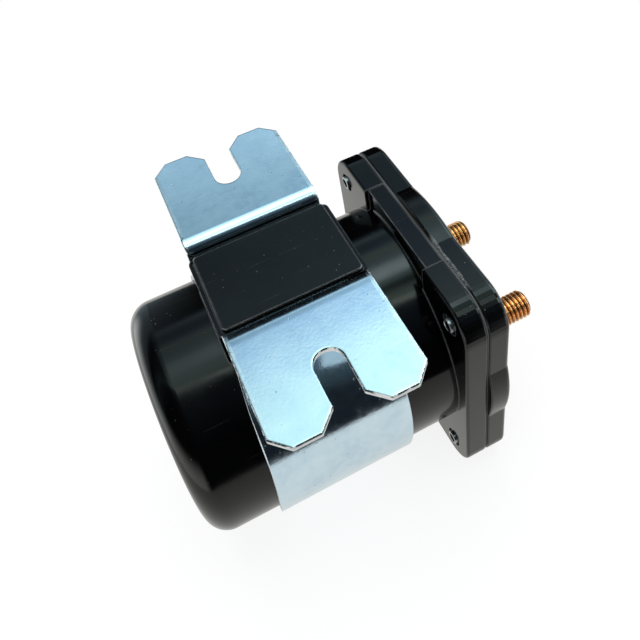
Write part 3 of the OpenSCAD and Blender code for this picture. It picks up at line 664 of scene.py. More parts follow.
class Finishes:
    """Every finish on the relay, built once and found by the record's slot name."""

    def __init__(self) -> None:
        """Builds the shared effects and all materials."""
        effects = Effects()
        steel, pale_steel = (0.34, 0.35, 0.36), (0.60, 0.61, 0.62)
        brass, dark_brass = (0.86, 0.62, 0.28), (0.42, 0.26, 0.09)
        copper, dark_copper = (0.93, 0.50, 0.28), (0.45, 0.17, 0.07)
        round_streaks = (6.0, 0.6, 0.6)
        made = {
            "housing_moulding": MouldedPlastic("glossy black can", (0.0012, 0.0012, 0.0015)),
            "cover_moulding": MouldedPlastic(
                "glossy black cover",
                (0.0012, 0.0012, 0.0015),
                roughness=0.16,
                flash_along=(25.85 * MM, 26.9 * MM),
                flash_across=(-27.0 * MM, -7.0 * MM),
            ),
            # The pad's bright edge colour is mostly a painted highlight round its outline, with some wear.
            "pad_moulding": MouldedPlastic("satin black pad", (0.0012, 0.0016, 0.002), roughness=0.28, dust=0.04, scratches=0.1, edge_highlight_and_wear=1.0, edge_highlight_and_wear_colour=(0.34, 0.36, 0.37)),
            "zinc_plate": PlatedSheet(
                "blue zinc plate",
                (0.64, 0.78, 0.87),
                (0.54, 0.69, 0.80),
                (0.74, 0.82, 0.86),
                middle=LAYOUT.bracket_station + LAYOUT.bracket_width / 2 - LAYOUT.length / 2,
                border=(LAYOUT.bracket_width / 2 - 1.2 * MM, LAYOUT.bracket_width / 2 - 0.9 * MM),
                ears=(LAYOUT.axis_height + LAYOUT.ear_height - 3.0 * MM, LAYOUT.axis_height + LAYOUT.ear_height - 1.0 * MM),
                # Painted shade at the near bend's foot, closer than these distances to the axis.
                crease_shade=(15.2 * MM, 15.5 * MM),
            ),
            "gasket_rubber": MouldedPlastic(
                "gasket rubber", (0.13, 0.132, 0.132), pale=(0.5, 0.49, 0.46), roughness=0.6, skin_height=0.05, dust=0.3, edge_highlight_and_wear=0.0
            ),
            "seal_rubber": MouldedPlastic(
                "seal rubber", (0.016, 0.016, 0.016), roughness=0.7, specular=0.3, skin_height=0.06, scratches=0.0
            ),
            # The screws' dark colour is painted shade in their hollows.
            "screw_steel": SocketSteel(
                "screw steel, shaded hollows",
                (0.62, 0.63, 0.64),
                (0.02, 0.02, 0.021),
                offset=LAYOUT.screw_pitch / 2,
                height=LAYOUT.axis_height,
                hollow_radius=1.3 * MM,
            ),
            # Dark roots are painted shade; the far stud's tint is a painted reflection.
            "stud_copper": ThreadMetal(
                "stud copper",
                crest=(1.0, 0.54, 0.23),
                root=(0.24, 0.055, 0.008),
                far_reflection_tint=(0.75, 1.0, 0.95),
                centres=tuple((side * LAYOUT.stud_pitch / 2, LAYOUT.axis_height) for side in (-1, 1)),
                crest_radius=3.85 * MM,
                root_radius=3.4 * MM,
            ),
            "contact_copper": BareMetal("contact copper", copper, dark_copper, roughness=0.28, streaks=round_streaks),
            "washer_brass": BareMetal("washer brass", brass, dark_brass, roughness=0.32, streaks=round_streaks),
            "nut_brass": BareMetal("nut brass", brass, dark_brass, roughness=0.26),
            "terminal_brass": ThreadMetal(
                "terminal brass",
                crest=(0.90, 0.66, 0.30),
                root=(0.25, 0.14, 0.04),
                centres=tuple((side * LAYOUT.coil_pitch / 2, LAYOUT.axis_height - LAYOUT.coil_drop) for side in (-1, 1)),
                crest_radius=1.95 * MM,
                root_radius=1.6 * MM,
            ),
            "tube_brass": BareMetal("drawn tube brass", brass, dark_brass, roughness=0.22, streaks=(0.2, 4.0, 4.0)),
            "enamelled_wire": WoundWire("enamelled wire", (0.60, 0.21, 0.08), (0.30, 0.08, 0.03)),
            "magnet_steel": BareMetal("magnet steel", pale_steel, steel, roughness=0.36, streaks=round_streaks),
            "plunger_steel": BareMetal("ground plunger steel", (0.68, 0.69, 0.70), steel, roughness=0.22, streaks=round_streaks),
            "spring_steel": BareMetal("spring steel", pale_steel, steel, roughness=0.3),
            "bobbin_plastic": MouldedPlastic(
                "natural nylon", (0.76, 0.72, 0.60), pale=(0.85, 0.83, 0.76), roughness=0.45, specular=0.5, dust=0.1, edge_highlight_and_wear=0.0
            ),
            "bush_plastic": MouldedPlastic(
                "bush plastic", (0.70, 0.64, 0.50), pale=(0.82, 0.78, 0.66), roughness=0.45, specular=0.5, dust=0.1, edge_highlight_and_wear=0.0
            ),
            "insulating_sleeve": MouldedPlastic(
                "pressed fibre", (0.075, 0.055, 0.045), roughness=0.6, specular=0.4, skin_height=0.08, scratches=0.0
            ),
        }
        self.by_slot = {slot: finish.build(effects) for slot, finish in made.items()}
        ear_top = LAYOUT.axis_height + LAYOUT.ear_height
        self.sheared = BareMetal(
            "sheared sheet edge",
            (0.97, 0.98, 0.98),
            (0.62, 0.66, 0.68),
            roughness=0.42,
            tarnish=0.7,
            metallic=0.55,
            burr=(ear_top - 0.75 * MM, ear_top - 0.35 * MM),
        ).build(effects)

    def dress(self, thing: bpy.types.Object, slot: str) -> None:
        """Gives a piece the finish of a slot, in place of any material it has."""
        thing.data.materials.clear()
        thing.data.materials.append(self.by_slot[slot])


# ---------------------------------------------------------------- mesh helpers


def make_object(name: str, mesh: bpy.types.Mesh) -> bpy.types.Object:
    """Links a new object that shows a mesh and returns it."""
    thing = bpy.data.objects.new(name, mesh)
    bpy.context.scene.collection.objects.link(thing)
    return thing


def shade_smooth(mesh: bpy.types.Mesh, angle: float = 30.0) -> None:
    """Smooths a mesh but keeps its edges sharper than an angle in degrees."""
    mesh.shade_smooth()
    mesh.set_sharp_from_angle(angle=math.radians(angle))


def baked(thing: bpy.types.Object) -> bpy.types.Object:
    """Replaces an object's modifiers with their result and returns the object."""
    graph = bpy.context.evaluated_depsgraph_get()
    mesh = bpy.data.meshes.new_from_object(thing.evaluated_get(graph), depsgraph=graph)
    thing.modifiers.clear()
    old = thing.data
    thing.data = mesh
    bpy.data.meshes.remove(old)
    mesh.name = thing.name
    return thing


def ring_solid(name: str, rings: list[list[Point]], closed: bool = False) -> bpy.types.Mesh:
    """Makes a skin over rings of points.

    Args:
        name: the mesh's name.
        rings: rings with the same number of points, in order along the skin.
        closed: joins the last ring to the first; otherwise both ends get a flat cap.

    Returns:
        The mesh, with its faces pointing outwards.
    """
    count = len(rings[0])
    points = [point for ring in rings for point in ring]
    faces = []
    last = len(rings) if closed else len(rings) - 1
    for i in range(last):
        a, b = i * count, ((i + 1) % len(rings)) * count
        for k in range(count):
            n = (k + 1) % count
            faces.append((a + k, a + n, b + n, b + k))
    if not closed:
        faces.append(tuple(range(count))[::-1])
        faces.append(tuple(range((len(rings) - 1) * count, len(rings) * count)))
    mesh = bpy.data.meshes.new(name)
    mesh.from_pydata(points, [], faces)
    work = bmesh.new()
    work.from_mesh(mesh)
    bmesh.ops.recalc_face_normals(work, faces=work.faces)
    work.to_mesh(mesh)
    work.free()
    return mesh


def circle_ring(radius: float, height: float, count: int) -> list[Point]:
    """Returns a ring of points on a circle at a height."""
    turns = (2 * math.pi * k / count for k in range(count))
    return [(radius * math.cos(t), radius * math.sin(t), height) for t in turns]


def merged_copy(name: str, source: bpy.types.Object) -> bpy.types.Mesh:
    """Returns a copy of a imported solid's mesh in the row frame, with its doubled points merged."""
    work = bmesh.new()
    work.from_mesh(source.data)
    work.transform(source.matrix_world)
    bmesh.ops.remove_doubles(work, verts=work.verts, dist=0.001 * MM)
    work.verts.index_update()
    points = [tuple(vertex.co) for vertex in work.verts]
    faces = [tuple(vertex.index for vertex in face.verts) for face in work.faces]
    work.free()
    mesh = bpy.data.meshes.new(name)
    mesh.from_pydata(points, [], faces)
    shade_smooth(mesh, 35.0)
    return mesh


def joined(name: str, meshes: list[bpy.types.Mesh]) -> bpy.types.Mesh:
    """Returns one mesh made of several, which are removed."""
    work = bmesh.new()
    for mesh in meshes:
        work.from_mesh(mesh)
        bpy.data.meshes.remove(mesh)
    result = bpy.data.meshes.new(name)
    work.to_mesh(result)
    work.free()
    return result


# ---------------------------------------------------------------- geometry trees


@dataclass(frozen=True)
class ThreadSize:
    """Sizes of one outside thread, drawn along +Z from its start."""

    radius: float
    pitch: float
    depth: float
    length: float
    chamfer: float
    sides: int = 64
    rings_per_pitch: int = 14


class ThreadTree:
    """Geometry Nodes tree that cuts a helical thread with a chamfered tip into a cylinder."""

    INPUTS = ("Radius", "Pitch", "Depth", "Length", "Chamfer")

    def __init__(self) -> None:
        """Builds the tree."""
        self.tree = bpy.data.node_groups.new("threaded shank", "GeometryNodeTree")
        face = self.tree.interface
        self.sockets = {n: face.new_socket(name=n, in_out="INPUT", socket_type="NodeSocketFloat") for n in self.INPUTS}
        for n in ("Sides", "Rings"):
            self.sockets[n] = face.new_socket(name=n, in_out="INPUT", socket_type="NodeSocketInt")
        self.sockets["Material"] = face.new_socket(name="Material", in_out="INPUT", socket_type="NodeSocketMaterial")
        face.new_socket(name="Geometry", in_out="OUTPUT", socket_type="NodeSocketGeometry")
        wiring = Wiring(self.tree)
        start = wiring.add("NodeGroupInput").outputs
        body = wiring.add(
            "GeometryNodeMeshCylinder",
            {"Vertices": start["Sides"], "Side Segments": start["Rings"], "Radius": start["Radius"], "Depth": start["Length"]},
        )
        lift = wiring.add("ShaderNodeCombineXYZ", {"Z": wiring.math("MULTIPLY", start["Length"], 0.5)})
        raised = wiring.add("GeometryNodeTransform", {"Geometry": body.outputs["Mesh"], "Translation": lift.outputs[0]})
        place = wiring.add("ShaderNodeSeparateXYZ", {0: wiring.add("GeometryNodeInputPosition").outputs[0]}).outputs
        angle = wiring.math("DIVIDE", wiring.math("ARCTAN2", place["Y"], place["X"]), 2 * math.pi)
        phase = wiring.math("FRACT", wiring.math("SUBTRACT", wiring.math("DIVIDE", place["Z"], start["Pitch"]), angle))
        valley = wiring.math("ABSOLUTE", wiring.math("MULTIPLY_ADD", phase, 2.0, -1.0))
        groove = wiring.ramp(valley, 0.10, 0.90)
        cut = wiring.math("MULTIPLY", groove, start["Depth"])
        threaded = wiring.math("SUBTRACT", start["Radius"], cut)
        left = wiring.math("SUBTRACT", start["Length"], place["Z"])
        tip = wiring.math("ADD", wiring.math("SUBTRACT", start["Radius"], start["Chamfer"]), left)
        radius = wiring.math("MINIMUM", threaded, tip)
        share = wiring.math("DIVIDE", radius, start["Radius"])
        moved = wiring.add(
            "ShaderNodeCombineXYZ",
            {"X": wiring.math("MULTIPLY", place["X"], share), "Y": wiring.math("MULTIPLY", place["Y"], share), "Z": place["Z"]},
        )
        shaped = wiring.add("GeometryNodeSetPosition", {"Geometry": raised.outputs[0], "Position": moved.outputs[0]})
        real = wiring.add("GeometryNodeRealizeInstances", {"Geometry": shaped.outputs[0]})
        dressed = wiring.add("GeometryNodeSetMaterial", {"Geometry": real.outputs[0], "Material": start["Material"]})
        wiring.add("NodeGroupOutput", {0: dressed.outputs[0]})

    def make(self, size: ThreadSize, material: bpy.types.Material) -> bpy.types.Mesh:
        """Returns the mesh of one thread, standing on the origin along +Z."""
        thing = make_object("thread draft", bpy.data.meshes.new("thread draft"))
        modifier = thing.modifiers.new("thread", "NODES")
        modifier.node_group = self.tree
        values = {
            "Radius": size.radius,
            "Pitch": size.pitch,
            "Depth": size.depth,
            "Length": size.length,
            "Chamfer": size.chamfer,
            "Sides": size.sides,
            "Rings": round(size.length / size.pitch * size.rings_per_pitch),
            "Material": material,
        }
        for name, value in values.items():
            modifier[self.sockets[name].identifier] = value
        mesh = baked(thing).data
        bpy.data.objects.remove(thing)
        return mesh


class PatternTree:
    """Geometry Nodes tree that repeats a piece on the points of a small grid."""

    def __init__(self) -> None:
        """Builds the tree."""
        self.tree = bpy.data.node_groups.new("repeated on a grid", "GeometryNodeTree")
        face = self.tree.interface
        face.new_socket(name="Geometry", in_out="INPUT", socket_type="NodeSocketGeometry")
        kinds = {"Pitch X": "Float", "Pitch Y": "Float", "Columns": "Int", "Rows": "Int", "Turn": "Float", "Seed": "Int", "Material": "Material"}
        self.sockets = {n: face.new_socket(name=n, in_out="INPUT", socket_type="NodeSocket" + k) for n, k in kinds.items()}
        face.new_socket(name="Geometry", in_out="OUTPUT", socket_type="NodeSocketGeometry")
        wiring = Wiring(self.tree)
        start = wiring.add("NodeGroupInput").outputs
        grid = wiring.add(
            "GeometryNodeMeshGrid",
            {"Size X": start["Pitch X"], "Size Y": start["Pitch Y"], "Vertices X": start["Columns"], "Vertices Y": start["Rows"]},
        )
        turn = wiring.add("FunctionNodeRandomValue", data_type="FLOAT")
        self.tree.links.new(start["Turn"], turn.inputs[3])
        turn.inputs[2].default_value = 0.0
        self.tree.links.new(start["Seed"], turn.inputs["Seed"])
        spin = wiring.add("ShaderNodeCombineXYZ", {"Z": turn.outputs[1]})
        placed = wiring.add(
            "GeometryNodeInstanceOnPoints", {"Points": grid.outputs["Mesh"], "Instance": start["Geometry"], "Rotation": spin.outputs[0]}
        )
        real = wiring.add("GeometryNodeRealizeInstances", {"Geometry": placed.outputs[0]})
        dressed = wiring.add("GeometryNodeSetMaterial", {"Geometry": real.outputs[0], "Material": start["Material"]})
        wiring.add("NodeGroupOutput", {0: dressed.outputs[0]})

    def repeat(
        self, mesh: bpy.types.Mesh, pitch: Pair, count: tuple[int, int], material: bpy.types.Material, turn: float = 0.0, seed: int = 3
    ) -> bpy.types.Mesh:
        """Repeats a mesh.

        Args:
            mesh: one piece, which is used up.
            pitch: size of the grid along x and y.
            count: number of points along x and y.
            material: material of all copies.
            turn: largest random turn about z, in radians.
            seed: seed of the random turns.

        Returns:
            One mesh with all copies.
        """
        thing = make_object("pattern draft", mesh)
        modifier = thing.modifiers.new("pattern", "NODES")
        modifier.node_group = self.tree
        values = {
            "Pitch X": pitch[0],
            "Pitch Y": pitch[1],
            "Columns": count[0],
            "Rows": count[1],
            "Turn": turn,
            "Seed": seed,
            "Material": material,
        }
        for name, value in values.items():
            modifier[self.sockets[name].identifier] = value
        result = baked(thing).data
        bpy.data.objects.remove(thing)
        return result


# ---------------------------------------------------------------- sub-assemblies


@dataclass
class Bracket:
    """Folded sheet bracket: a wrap round the can, two legs and two slotted ears."""

    start: float = 20.6 * MM
    width: float = 36.0 * MM
    sheet: float = 1.6 * MM
    wrap_radius: float = 31.55 * MM
    leg_inside: float = 13.3 * MM
    ear_height: float = 44.2 * MM
    tip: float = 46.2 * MM
    near_bend: tuple[Point, ...] = (
        (90.0, 30.0, 2.5 * MM),
        (30.0, 10.0, 7.4 * MM),
        (10.0, 4.0, 7.0 * MM),
        (4.0, 0.0, 22.0 * MM),
    )
    far_bend: tuple[Point, ...] = (
        (90.0, 30.0, 2.3 * MM),
        (30.0, 10.0, 4.9 * MM),
        (10.0, 5.0, 4.5 * MM),
        (5.0, 0.0, 4.5 * MM),
    )
    neck_bend: float = 3.0 * MM
    slot_half: float = 3.55 * MM
    slot_centre: float = 32.9 * MM
    tip_chamfer: float = 4.0 * MM
    mouth_chamfer: float = 4.1 * MM
    edge_round: float = 0.24 * MM
    strap_drift: tuple[Point, ...] = (
        (28.0, 0.0, 0.0),
        (44.0, 0.9 * MM, 0.3 * MM),
        (60.0, 1.3 * MM, 0.45 * MM),
        (72.0, 1.5 * MM, 0.55 * MM),
        (84.0, 1.9 * MM, 0.8 * MM),
        (96.0, 2.4 * MM, 1.1 * MM),
        (112.0, 2.7 * MM, 1.5 * MM),
        (180.0, 2.7 * MM, 2.0 * MM),
    )

    def drift(self, point: Pair, end: int) -> float:
        """Returns how far an edge of the strap has wandered towards the closed end.

        Args:
            point: a point of the section.
            end: 0 for the edge at the closed end, 1 for the edge at the flange.

        Returns:
            The distance along the axis.
        """
        if math.hypot(*point) > self.wrap_radius + self.sheet + 0.01 * MM:
            return 0.0
        angle = math.degrees(math.atan2(abs(point[0]), point[1]))
        for low, high in zip(self.strap_drift, self.strap_drift[1:]):
            if angle <= high[0]:
                share = max(0.0, angle - low[0]) / (high[0] - low[0])
                return low[1 + end] * (1.0 - share) + high[1 + end] * share
        return self.strap_drift[-1][1 + end]

    def half_section(self, stretches: tuple[Point, ...]) -> list[tuple[Pair, Pair]]:
        """Returns pairs of points (across, height) on the two faces, from under the can to the ear's bend.

        Args:
            stretches: the bend at the ear, as (first angle, last angle, radius).

        Returns:
            One pair for each row of vertices.
        """
        outer = self.wrap_radius + self.sheet
        neck_u = self.leg_inside + self.sheet + self.neck_bend
        neck_v = math.sqrt((outer + self.neck_bend) ** 2 - neck_u**2)
        neck_angle = math.atan2(neck_v, neck_u)
        rows: list[tuple[Pair, Pair]] = []

        def arc(centre: Pair, radii: Pair, first: float, last: float, steps: int) -> None:
            """Adds the stations of one bend."""
            for i in range(steps + 1):
                t = first + (last - first) * i / steps
                c, s = math.cos(t), math.sin(t)
                rows.append(tuple((centre[0] + r * c, centre[1] + r * s) for r in radii))

        arc((0.0, 0.0), (self.wrap_radius, outer), -math.pi / 2, neck_angle, 56)
        arc((neck_u, neck_v), (self.neck_bend + self.sheet, self.neck_bend), math.pi + neck_angle, math.pi, 12)
        rows += self.crowned_bend(stretches)
        return [row for i, row in enumerate(rows) if i == 0 or math.dist(row[0], rows[i - 1][0]) > 1e-6]

    def crowned_bend(self, stretches: tuple[Point, ...]) -> list[tuple[Pair, Pair]]:
        """Returns the ear's bend, which is tight at the leg and eases into the flat in a few stretches."""
        rise = sum(
            radius * (math.cos(math.radians(last)) - math.cos(math.radians(first))) for first, last, radius in stretches
        )
        across, height = self.leg_inside, self.ear_height - rise
        rows = [((across, height), (across + self.sheet, height))]
        for first, last, radius in stretches:
            steps = 10
            for i in range(steps):
                a = math.radians(first + (last - first) * i / steps)
                b = math.radians(first + (last - first) * (i + 1) / steps)
                across += radius * (math.sin(a) - math.sin(b))
                height += radius * (math.cos(b) - math.cos(a))
                back = (across + self.sheet * math.sin(b), height - self.sheet * math.cos(b))
                rows.append(((across, height), back))
        return rows

    def ear_outline(self, across: float) -> list[Pair]:
        """Returns the ear's outline (station, across) from the bend's near end round the slot to its far end."""
        first, last = self.start, self.start + self.width
        middle = (first + last) / 2
        half, tip, mouth = self.slot_half, self.tip, self.mouth_chamfer
        arc = [math.pi + math.pi * i / 20 for i in range(21)]
        slot = [(middle + half * math.cos(t), self.slot_centre + half * math.sin(t)) for t in arc]
        return [
            (first, across),
            (first, tip - self.tip_chamfer),
            (first + self.tip_chamfer, tip),
            (middle - half - mouth, tip),
            (middle - half, tip - mouth),
            *slot,
            (middle + half, tip - mouth),
            (middle + half + mouth, tip),
            (last - self.tip_chamfer, tip),
            (last, tip - self.tip_chamfer),
            (last, across),
        ]

    def draft(self) -> bpy.types.Mesh:
        """Returns the folded sheet as a closed mesh; faces of the cut edges have material number 1."""
        work = bmesh.new()
        near, far = self.half_section(self.near_bend), self.half_section(self.far_bend)
        rows = [((-a[0], a[1]), (-b[0], b[1])) for a, b in near[:0:-1]] + far
        ends = (self.start, self.start + self.width)

        def spot(station: float, point: Pair) -> bmesh.types.BMVert:
            """Adds one vertex at a station and a point of the section."""
            return work.verts.new((station - LAYOUT.length / 2, point[0], point[1] + LAYOUT.axis_height))

        grid = [[[spot(x - self.drift(face, end), face) for end, x in enumerate(ends)] for face in row] for row in rows]
        for low, high in zip(grid, grid[1:]):
            work.faces.new((low[0][0], low[0][1], high[0][1], high[0][0]))
            work.faces.new((low[1][0], high[1][0], high[1][1], low[1][1]))
            for end in (0, 1):
                quad = (low[0][end], high[0][end], high[1][end], low[1][end])
                work.faces.new(quad if end == 0 else quad[::-1]).material_index = 1
        for side, half, row in ((-1, near, grid[0]), (1, far, grid[-1])):
            outline = self.ear_outline(half[-1][0][0])[1:-1]
            loops = []
            for face, height in ((0, self.ear_height), (1, self.ear_height - self.sheet)):
                middle = [spot(x, (side * y, height)) for x, y in outline]
                loops.append([row[face][0], *middle, row[face][1]])
            work.faces.new(loops[0])
            work.faces.new(loops[1][::-1])
            for k in range(len(loops[0]) - 1):
                quad = (loops[0][k], loops[0][k + 1], loops[1][k + 1], loops[1][k])
                work.faces.new(quad).material_index = 1
        bmesh.ops.recalc_face_normals(work, faces=work.faces)
        mesh = bpy.data.meshes.new(Piece.BRACKET.value)
        work.to_mesh(mesh)
        work.free()
        return mesh

    def build(self, finishes: Finishes) -> bpy.types.Object:
        """Returns the finished bracket with rounded cut edges."""
        thing = make_object("folded_bracket", self.draft())
        shade_smooth(thing.data, 35.0)
        bevel = thing.modifiers.new("cut edges", "BEVEL")
        bevel.width = self.edge_round
        bevel.segments = 3
        bevel.limit_method = "ANGLE"
        bevel.angle_limit = math.radians(40)
        bevel.miter_outer = "MITER_ARC"
        bevel.harden_normals = True
        thing.data.materials.append(finishes.by_slot["zinc_plate"])
        thing.data.materials.append(finishes.sheared)
        baked(thing)
        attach(thing, Body.FRAME.value)
        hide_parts(Piece.BRACKET.value)
        LOG.info("%s: %d faces", thing.name, len(thing.data.polygons))
        return thing


@dataclass
class MainStuds:
    """Copper studs: contact head and neck inside the cover, thread outside."""

    radius: float = 4.0 * MM
    pitch: float = 1.25 * MM
    depth: float = 0.72 * MM
    head_radius: float = 7.4 * MM
    head_start: float = 75.1 * MM
    head_end: float = 77.8 * MM
    thread_start: float = 83.0 * MM
    chamfer: float = 0.9 * MM
    neck_gap: float = 0.02 * MM

    def build(self, threads: ThreadTree, finishes: Finishes) -> list[bpy.types.Object]:
        """Returns the two studs."""
        copper = finishes.by_slot["stud_copper"]
        made = []
        for side, node in ((-1, Piece.NEAR_STUD), (1, Piece.FAR_STUD)):
            low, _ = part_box(node.value)
            head = low.x + LAYOUT.length / 2
            rings = [
                circle_ring(r, z, 64)
                for r, z in (
                    (self.head_radius - 0.3 * MM, head),
                    (self.head_radius, head + 0.3 * MM),
                    (self.head_radius, self.head_end - 0.05 * MM),
                    (self.radius - self.neck_gap, self.head_end),
                    (self.radius - self.neck_gap, self.thread_start),
                    (self.radius - self.depth, self.thread_start + self.depth),
                )
            ]
            neck = ring_solid("neck", rings)
            size = ThreadSize(self.radius, self.pitch, self.depth, LAYOUT.length - self.thread_start, self.chamfer)
            thread = threads.make(size, copper)
            thread.transform(Matrix.Translation((0, 0, self.thread_start)) @ Matrix.Rotation(side * 0.9, 4, "Z"))
            mesh = joined(node.value, [neck, thread])
            mesh.transform(LAYOUT.placed() @ Matrix.Translation((side * LAYOUT.stud_pitch / 2, 0, 0)))
            shade_smooth(mesh, 40.0)
            thing = make_object(f"threaded_{node.value}", mesh)
            mesh.materials.clear()
            mesh.materials.append(copper)
            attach(thing, Body.FRAME.value)
            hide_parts(node.value)
            LOG.info("%s: %d faces", thing.name, len(mesh.polygons))
            made.append(thing)
        return made


@dataclass
class HexNutSize:
    """Sizes of one hex nut with chamfered corners and a chamfered bore."""

    flats: float
    thickness: float
    bore: float
    chamfer: float

    def mesh(self, name: str, sides: int = 72) -> bpy.types.Mesh:
        """Returns the nut, standing on the origin along +Z."""
        half = self.flats / 2
        crown = half * 0.97

        def hexagon(top: bool) -> list[Point]:
            """Returns the ring where the flats meet the crown's cone."""
            ring = []
            for k in range(sides):
                turn = 2 * math.pi * k / sides
                local = (turn + math.pi / 6) % (math.pi / 3) - math.pi / 6
                radius = half / math.cos(local)
                drop = (radius - crown) * math.tan(math.radians(30))
                z = self.thickness - drop if top else drop
                ring.append((radius * math.cos(turn), radius * math.sin(turn), z))
            return ring

        c = self.chamfer
        rings = [
            circle_ring(self.bore, c, sides),
            circle_ring(self.bore + c, 0.0, sides),
            circle_ring(crown, 0.0, sides),
            hexagon(False),
            hexagon(True),
            circle_ring(crown, self.thickness, sides),
            circle_ring(self.bore + c, self.thickness, sides),
            circle_ring(self.bore, self.thickness - c, sides),
        ]
        return ring_solid(name, rings, closed=True)


@dataclass
class ClampParts:
    """Nuts and washers on the front of the cover."""

    boss: float = 2.5 * MM
    washer: float = 1.2 * MM
    coil_boss: float = 2.0 * MM

    def build(self, pattern: PatternTree, finishes: Finishes) -> list[bpy.types.Object]:
        """Returns the main nuts, the washers and the coil terminals' nuts."""
        main = HexNutSize(13.0 * MM, 4.0 * MM, 4.05 * MM, 0.35 * MM)
        small = HexNutSize(7.0 * MM, 3.0 * MM, 2.05 * MM, 0.25 * MM)
        washer = [circle_ring(r, z, 72) for r, z in self.washer_profile()]
        made = []
        jobs = (
            (Piece.STUD_NUTS, main.mesh("nut"), "nut_brass", LAYOUT.stud_pitch, 0.0, self.boss + self.washer, 0.0),
            (Piece.STUD_WASHERS, ring_solid("washer", washer, closed=True), "washer_brass", LAYOUT.stud_pitch, 0.0, self.boss, 0.0),
            (Piece.COIL_NUTS, small.mesh("small nut"), "terminal_brass", LAYOUT.coil_pitch, -LAYOUT.coil_drop, self.coil_boss, 0.0),
        )
        for piece, mesh, slot, pitch, drop, rise, turn in jobs:
            material = finishes.by_slot[slot]
            mesh = pattern.repeat(mesh, (pitch, 0.0), (2, 1), material, turn)
            mesh.transform(LAYOUT.placed() @ Matrix.Translation((0, drop, LAYOUT.cover_face + rise)))
            shade_smooth(mesh, 25.0)
            thing = make_object(f"turned_{piece.value}", mesh)
            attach(thing, Body.FRAME.value)
            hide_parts(piece.value)
            LOG.info("%s: %d faces", thing.name, len(mesh.polygons))
            made.append(thing)
        return made

    def washer_profile(self) -> list[Pair]:
        """Returns the washer's section as (radius, height), with broken edges."""
        r_in, r_out, t, c = 4.1 * MM, 8.0 * MM, self.washer, 0.15 * MM
        return [(r_in, c), (r_in + c, 0), (r_out - c, 0), (r_out, c), (r_out, t - c), (r_out - c, t), (r_in + c, t), (r_in, t - c)]


@dataclass
class CoilTerminals:
    """Two small brass terminals with threads and round heads."""

    radius: float = 2.0 * MM
    pitch: float = 0.7 * MM
    depth: float = 0.4 * MM
    head_radius: float = 3.4 * MM
    length_out: float = 11.2 * MM
    thread_start: float = 83.0 * MM

    def build(self, threads: ThreadTree, pattern: PatternTree, finishes: Finishes) -> bpy.types.Object:
        """Returns the two terminals as one piece."""
        brass = finishes.by_slot["terminal_brass"]
        low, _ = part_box(Piece.COIL_TERMINALS.value)
        head = low.x + LAYOUT.length / 2
        profile = (
            (self.head_radius - 0.2 * MM, head),
            (self.head_radius, head + 0.2 * MM),
            (self.head_radius, head + 1.6 * MM),
            (self.radius - 0.02 * MM, head + 1.6 * MM),
            (self.radius - 0.02 * MM, self.thread_start),
            (self.radius - self.depth, self.thread_start + self.depth),
        )
        neck = ring_solid("neck", [circle_ring(r, z, 48) for r, z in profile])
        length = LAYOUT.cover_face + self.length_out - self.thread_start
        thread = threads.make(ThreadSize(self.radius, self.pitch, self.depth, length, 0.4 * MM, sides=40, rings_per_pitch=10), brass)
        thread.transform(Matrix.Translation((0, 0, self.thread_start)))
        mesh = pattern.repeat(joined("terminal", [neck, thread]), (LAYOUT.coil_pitch, 0.0), (2, 1), brass)
        mesh.transform(LAYOUT.placed() @ Matrix.Translation((0, -LAYOUT.coil_drop, 0)))
        shade_smooth(mesh, 40.0)
        thing = make_object("threaded_coil_terminals", mesh)
        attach(thing, Body.FRAME.value)
        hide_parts(Piece.COIL_TERMINALS.value)
        LOG.info("%s: %d faces", thing.name, len(mesh.polygons))
        return thing


@dataclass
class FlangeScrews:
    """Four socket screws put in from the front, whose hollow ends stand out behind the flange."""

    head_radius: float = 3.5 * MM
    head_start: float = 79.7 * MM
    head_height: float = 2.4 * MM
    shank_radius: float = 1.9 * MM
    end: float = 69.3 * MM
    hollow_radius: float = 1.2 * MM
    hollow_depth: float = 1.2 * MM
    socket_flats: float = 2.5 * MM
    socket_depth: float = 1.3 * MM
    sides: int = 48

    def socket_ring(self, station: float, grow: float = 0.0) -> list[Point]:
        """Returns a hexagonal ring of the socket at a station."""
        ring = []
        for k in range(self.sides):
            turn = 2 * math.pi * k / self.sides
            local = (turn + math.pi / 6) % (math.pi / 3) - math.pi / 6
            radius = (self.socket_flats / 2 + grow) / math.cos(local)
            ring.append((radius * math.cos(turn), radius * math.sin(turn), station))
        return ring

    def profile(self) -> list[list[Point]]:
        """Returns the rings of one screw, from the hollow in its end to the socket in its head."""
        top = self.head_start + self.head_height
        shank, hollow, end = self.shank_radius, self.hollow_radius, self.end
        round_rings = (
            (0.1 * MM, end + self.hollow_depth + 0.35 * MM),
            (hollow - 0.1 * MM, end + self.hollow_depth),
            (hollow, end + 0.25 * MM),
            (hollow + 0.25 * MM, end),
            (shank - 0.3 * MM, end),
            (shank - 0.08 * MM, end + 0.1 * MM),
            (shank, end + 0.35 * MM),
            (shank, self.head_start),
            (self.head_radius, self.head_start),
            (self.head_radius, top - 0.5 * MM),
            (self.head_radius - 0.15 * MM, top - 0.15 * MM),
            (self.head_radius - 0.5 * MM, top),
        )
        floor = top - self.socket_depth
        rings = [circle_ring(radius, station, self.sides) for radius, station in round_rings]
        rings += [self.socket_ring(top, 0.1 * MM), self.socket_ring(top - 0.1 * MM), self.socket_ring(floor)]
        rings.append(circle_ring(0.1 * MM, floor - 0.2 * MM, self.sides))
        return rings

    def build(self, pattern: PatternTree, finishes: Finishes) -> bpy.types.Object:
        """Returns the four screws as one piece."""
        steel = finishes.by_slot["screw_steel"]
        pitch = LAYOUT.screw_pitch
        mesh = pattern.repeat(ring_solid("screw", self.profile()), (pitch, pitch), (2, 2), steel, turn=1.0, seed=5)
        mesh.transform(LAYOUT.placed())
        shade_smooth(mesh, 35.0)
        thing = make_object("socket_screws", mesh)
        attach(thing, Body.FRAME.value)
        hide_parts(Piece.FLANGE_SCREWS.value)
        LOG.info("%s: %d faces", thing.name, len(mesh.polygons))
        return thing


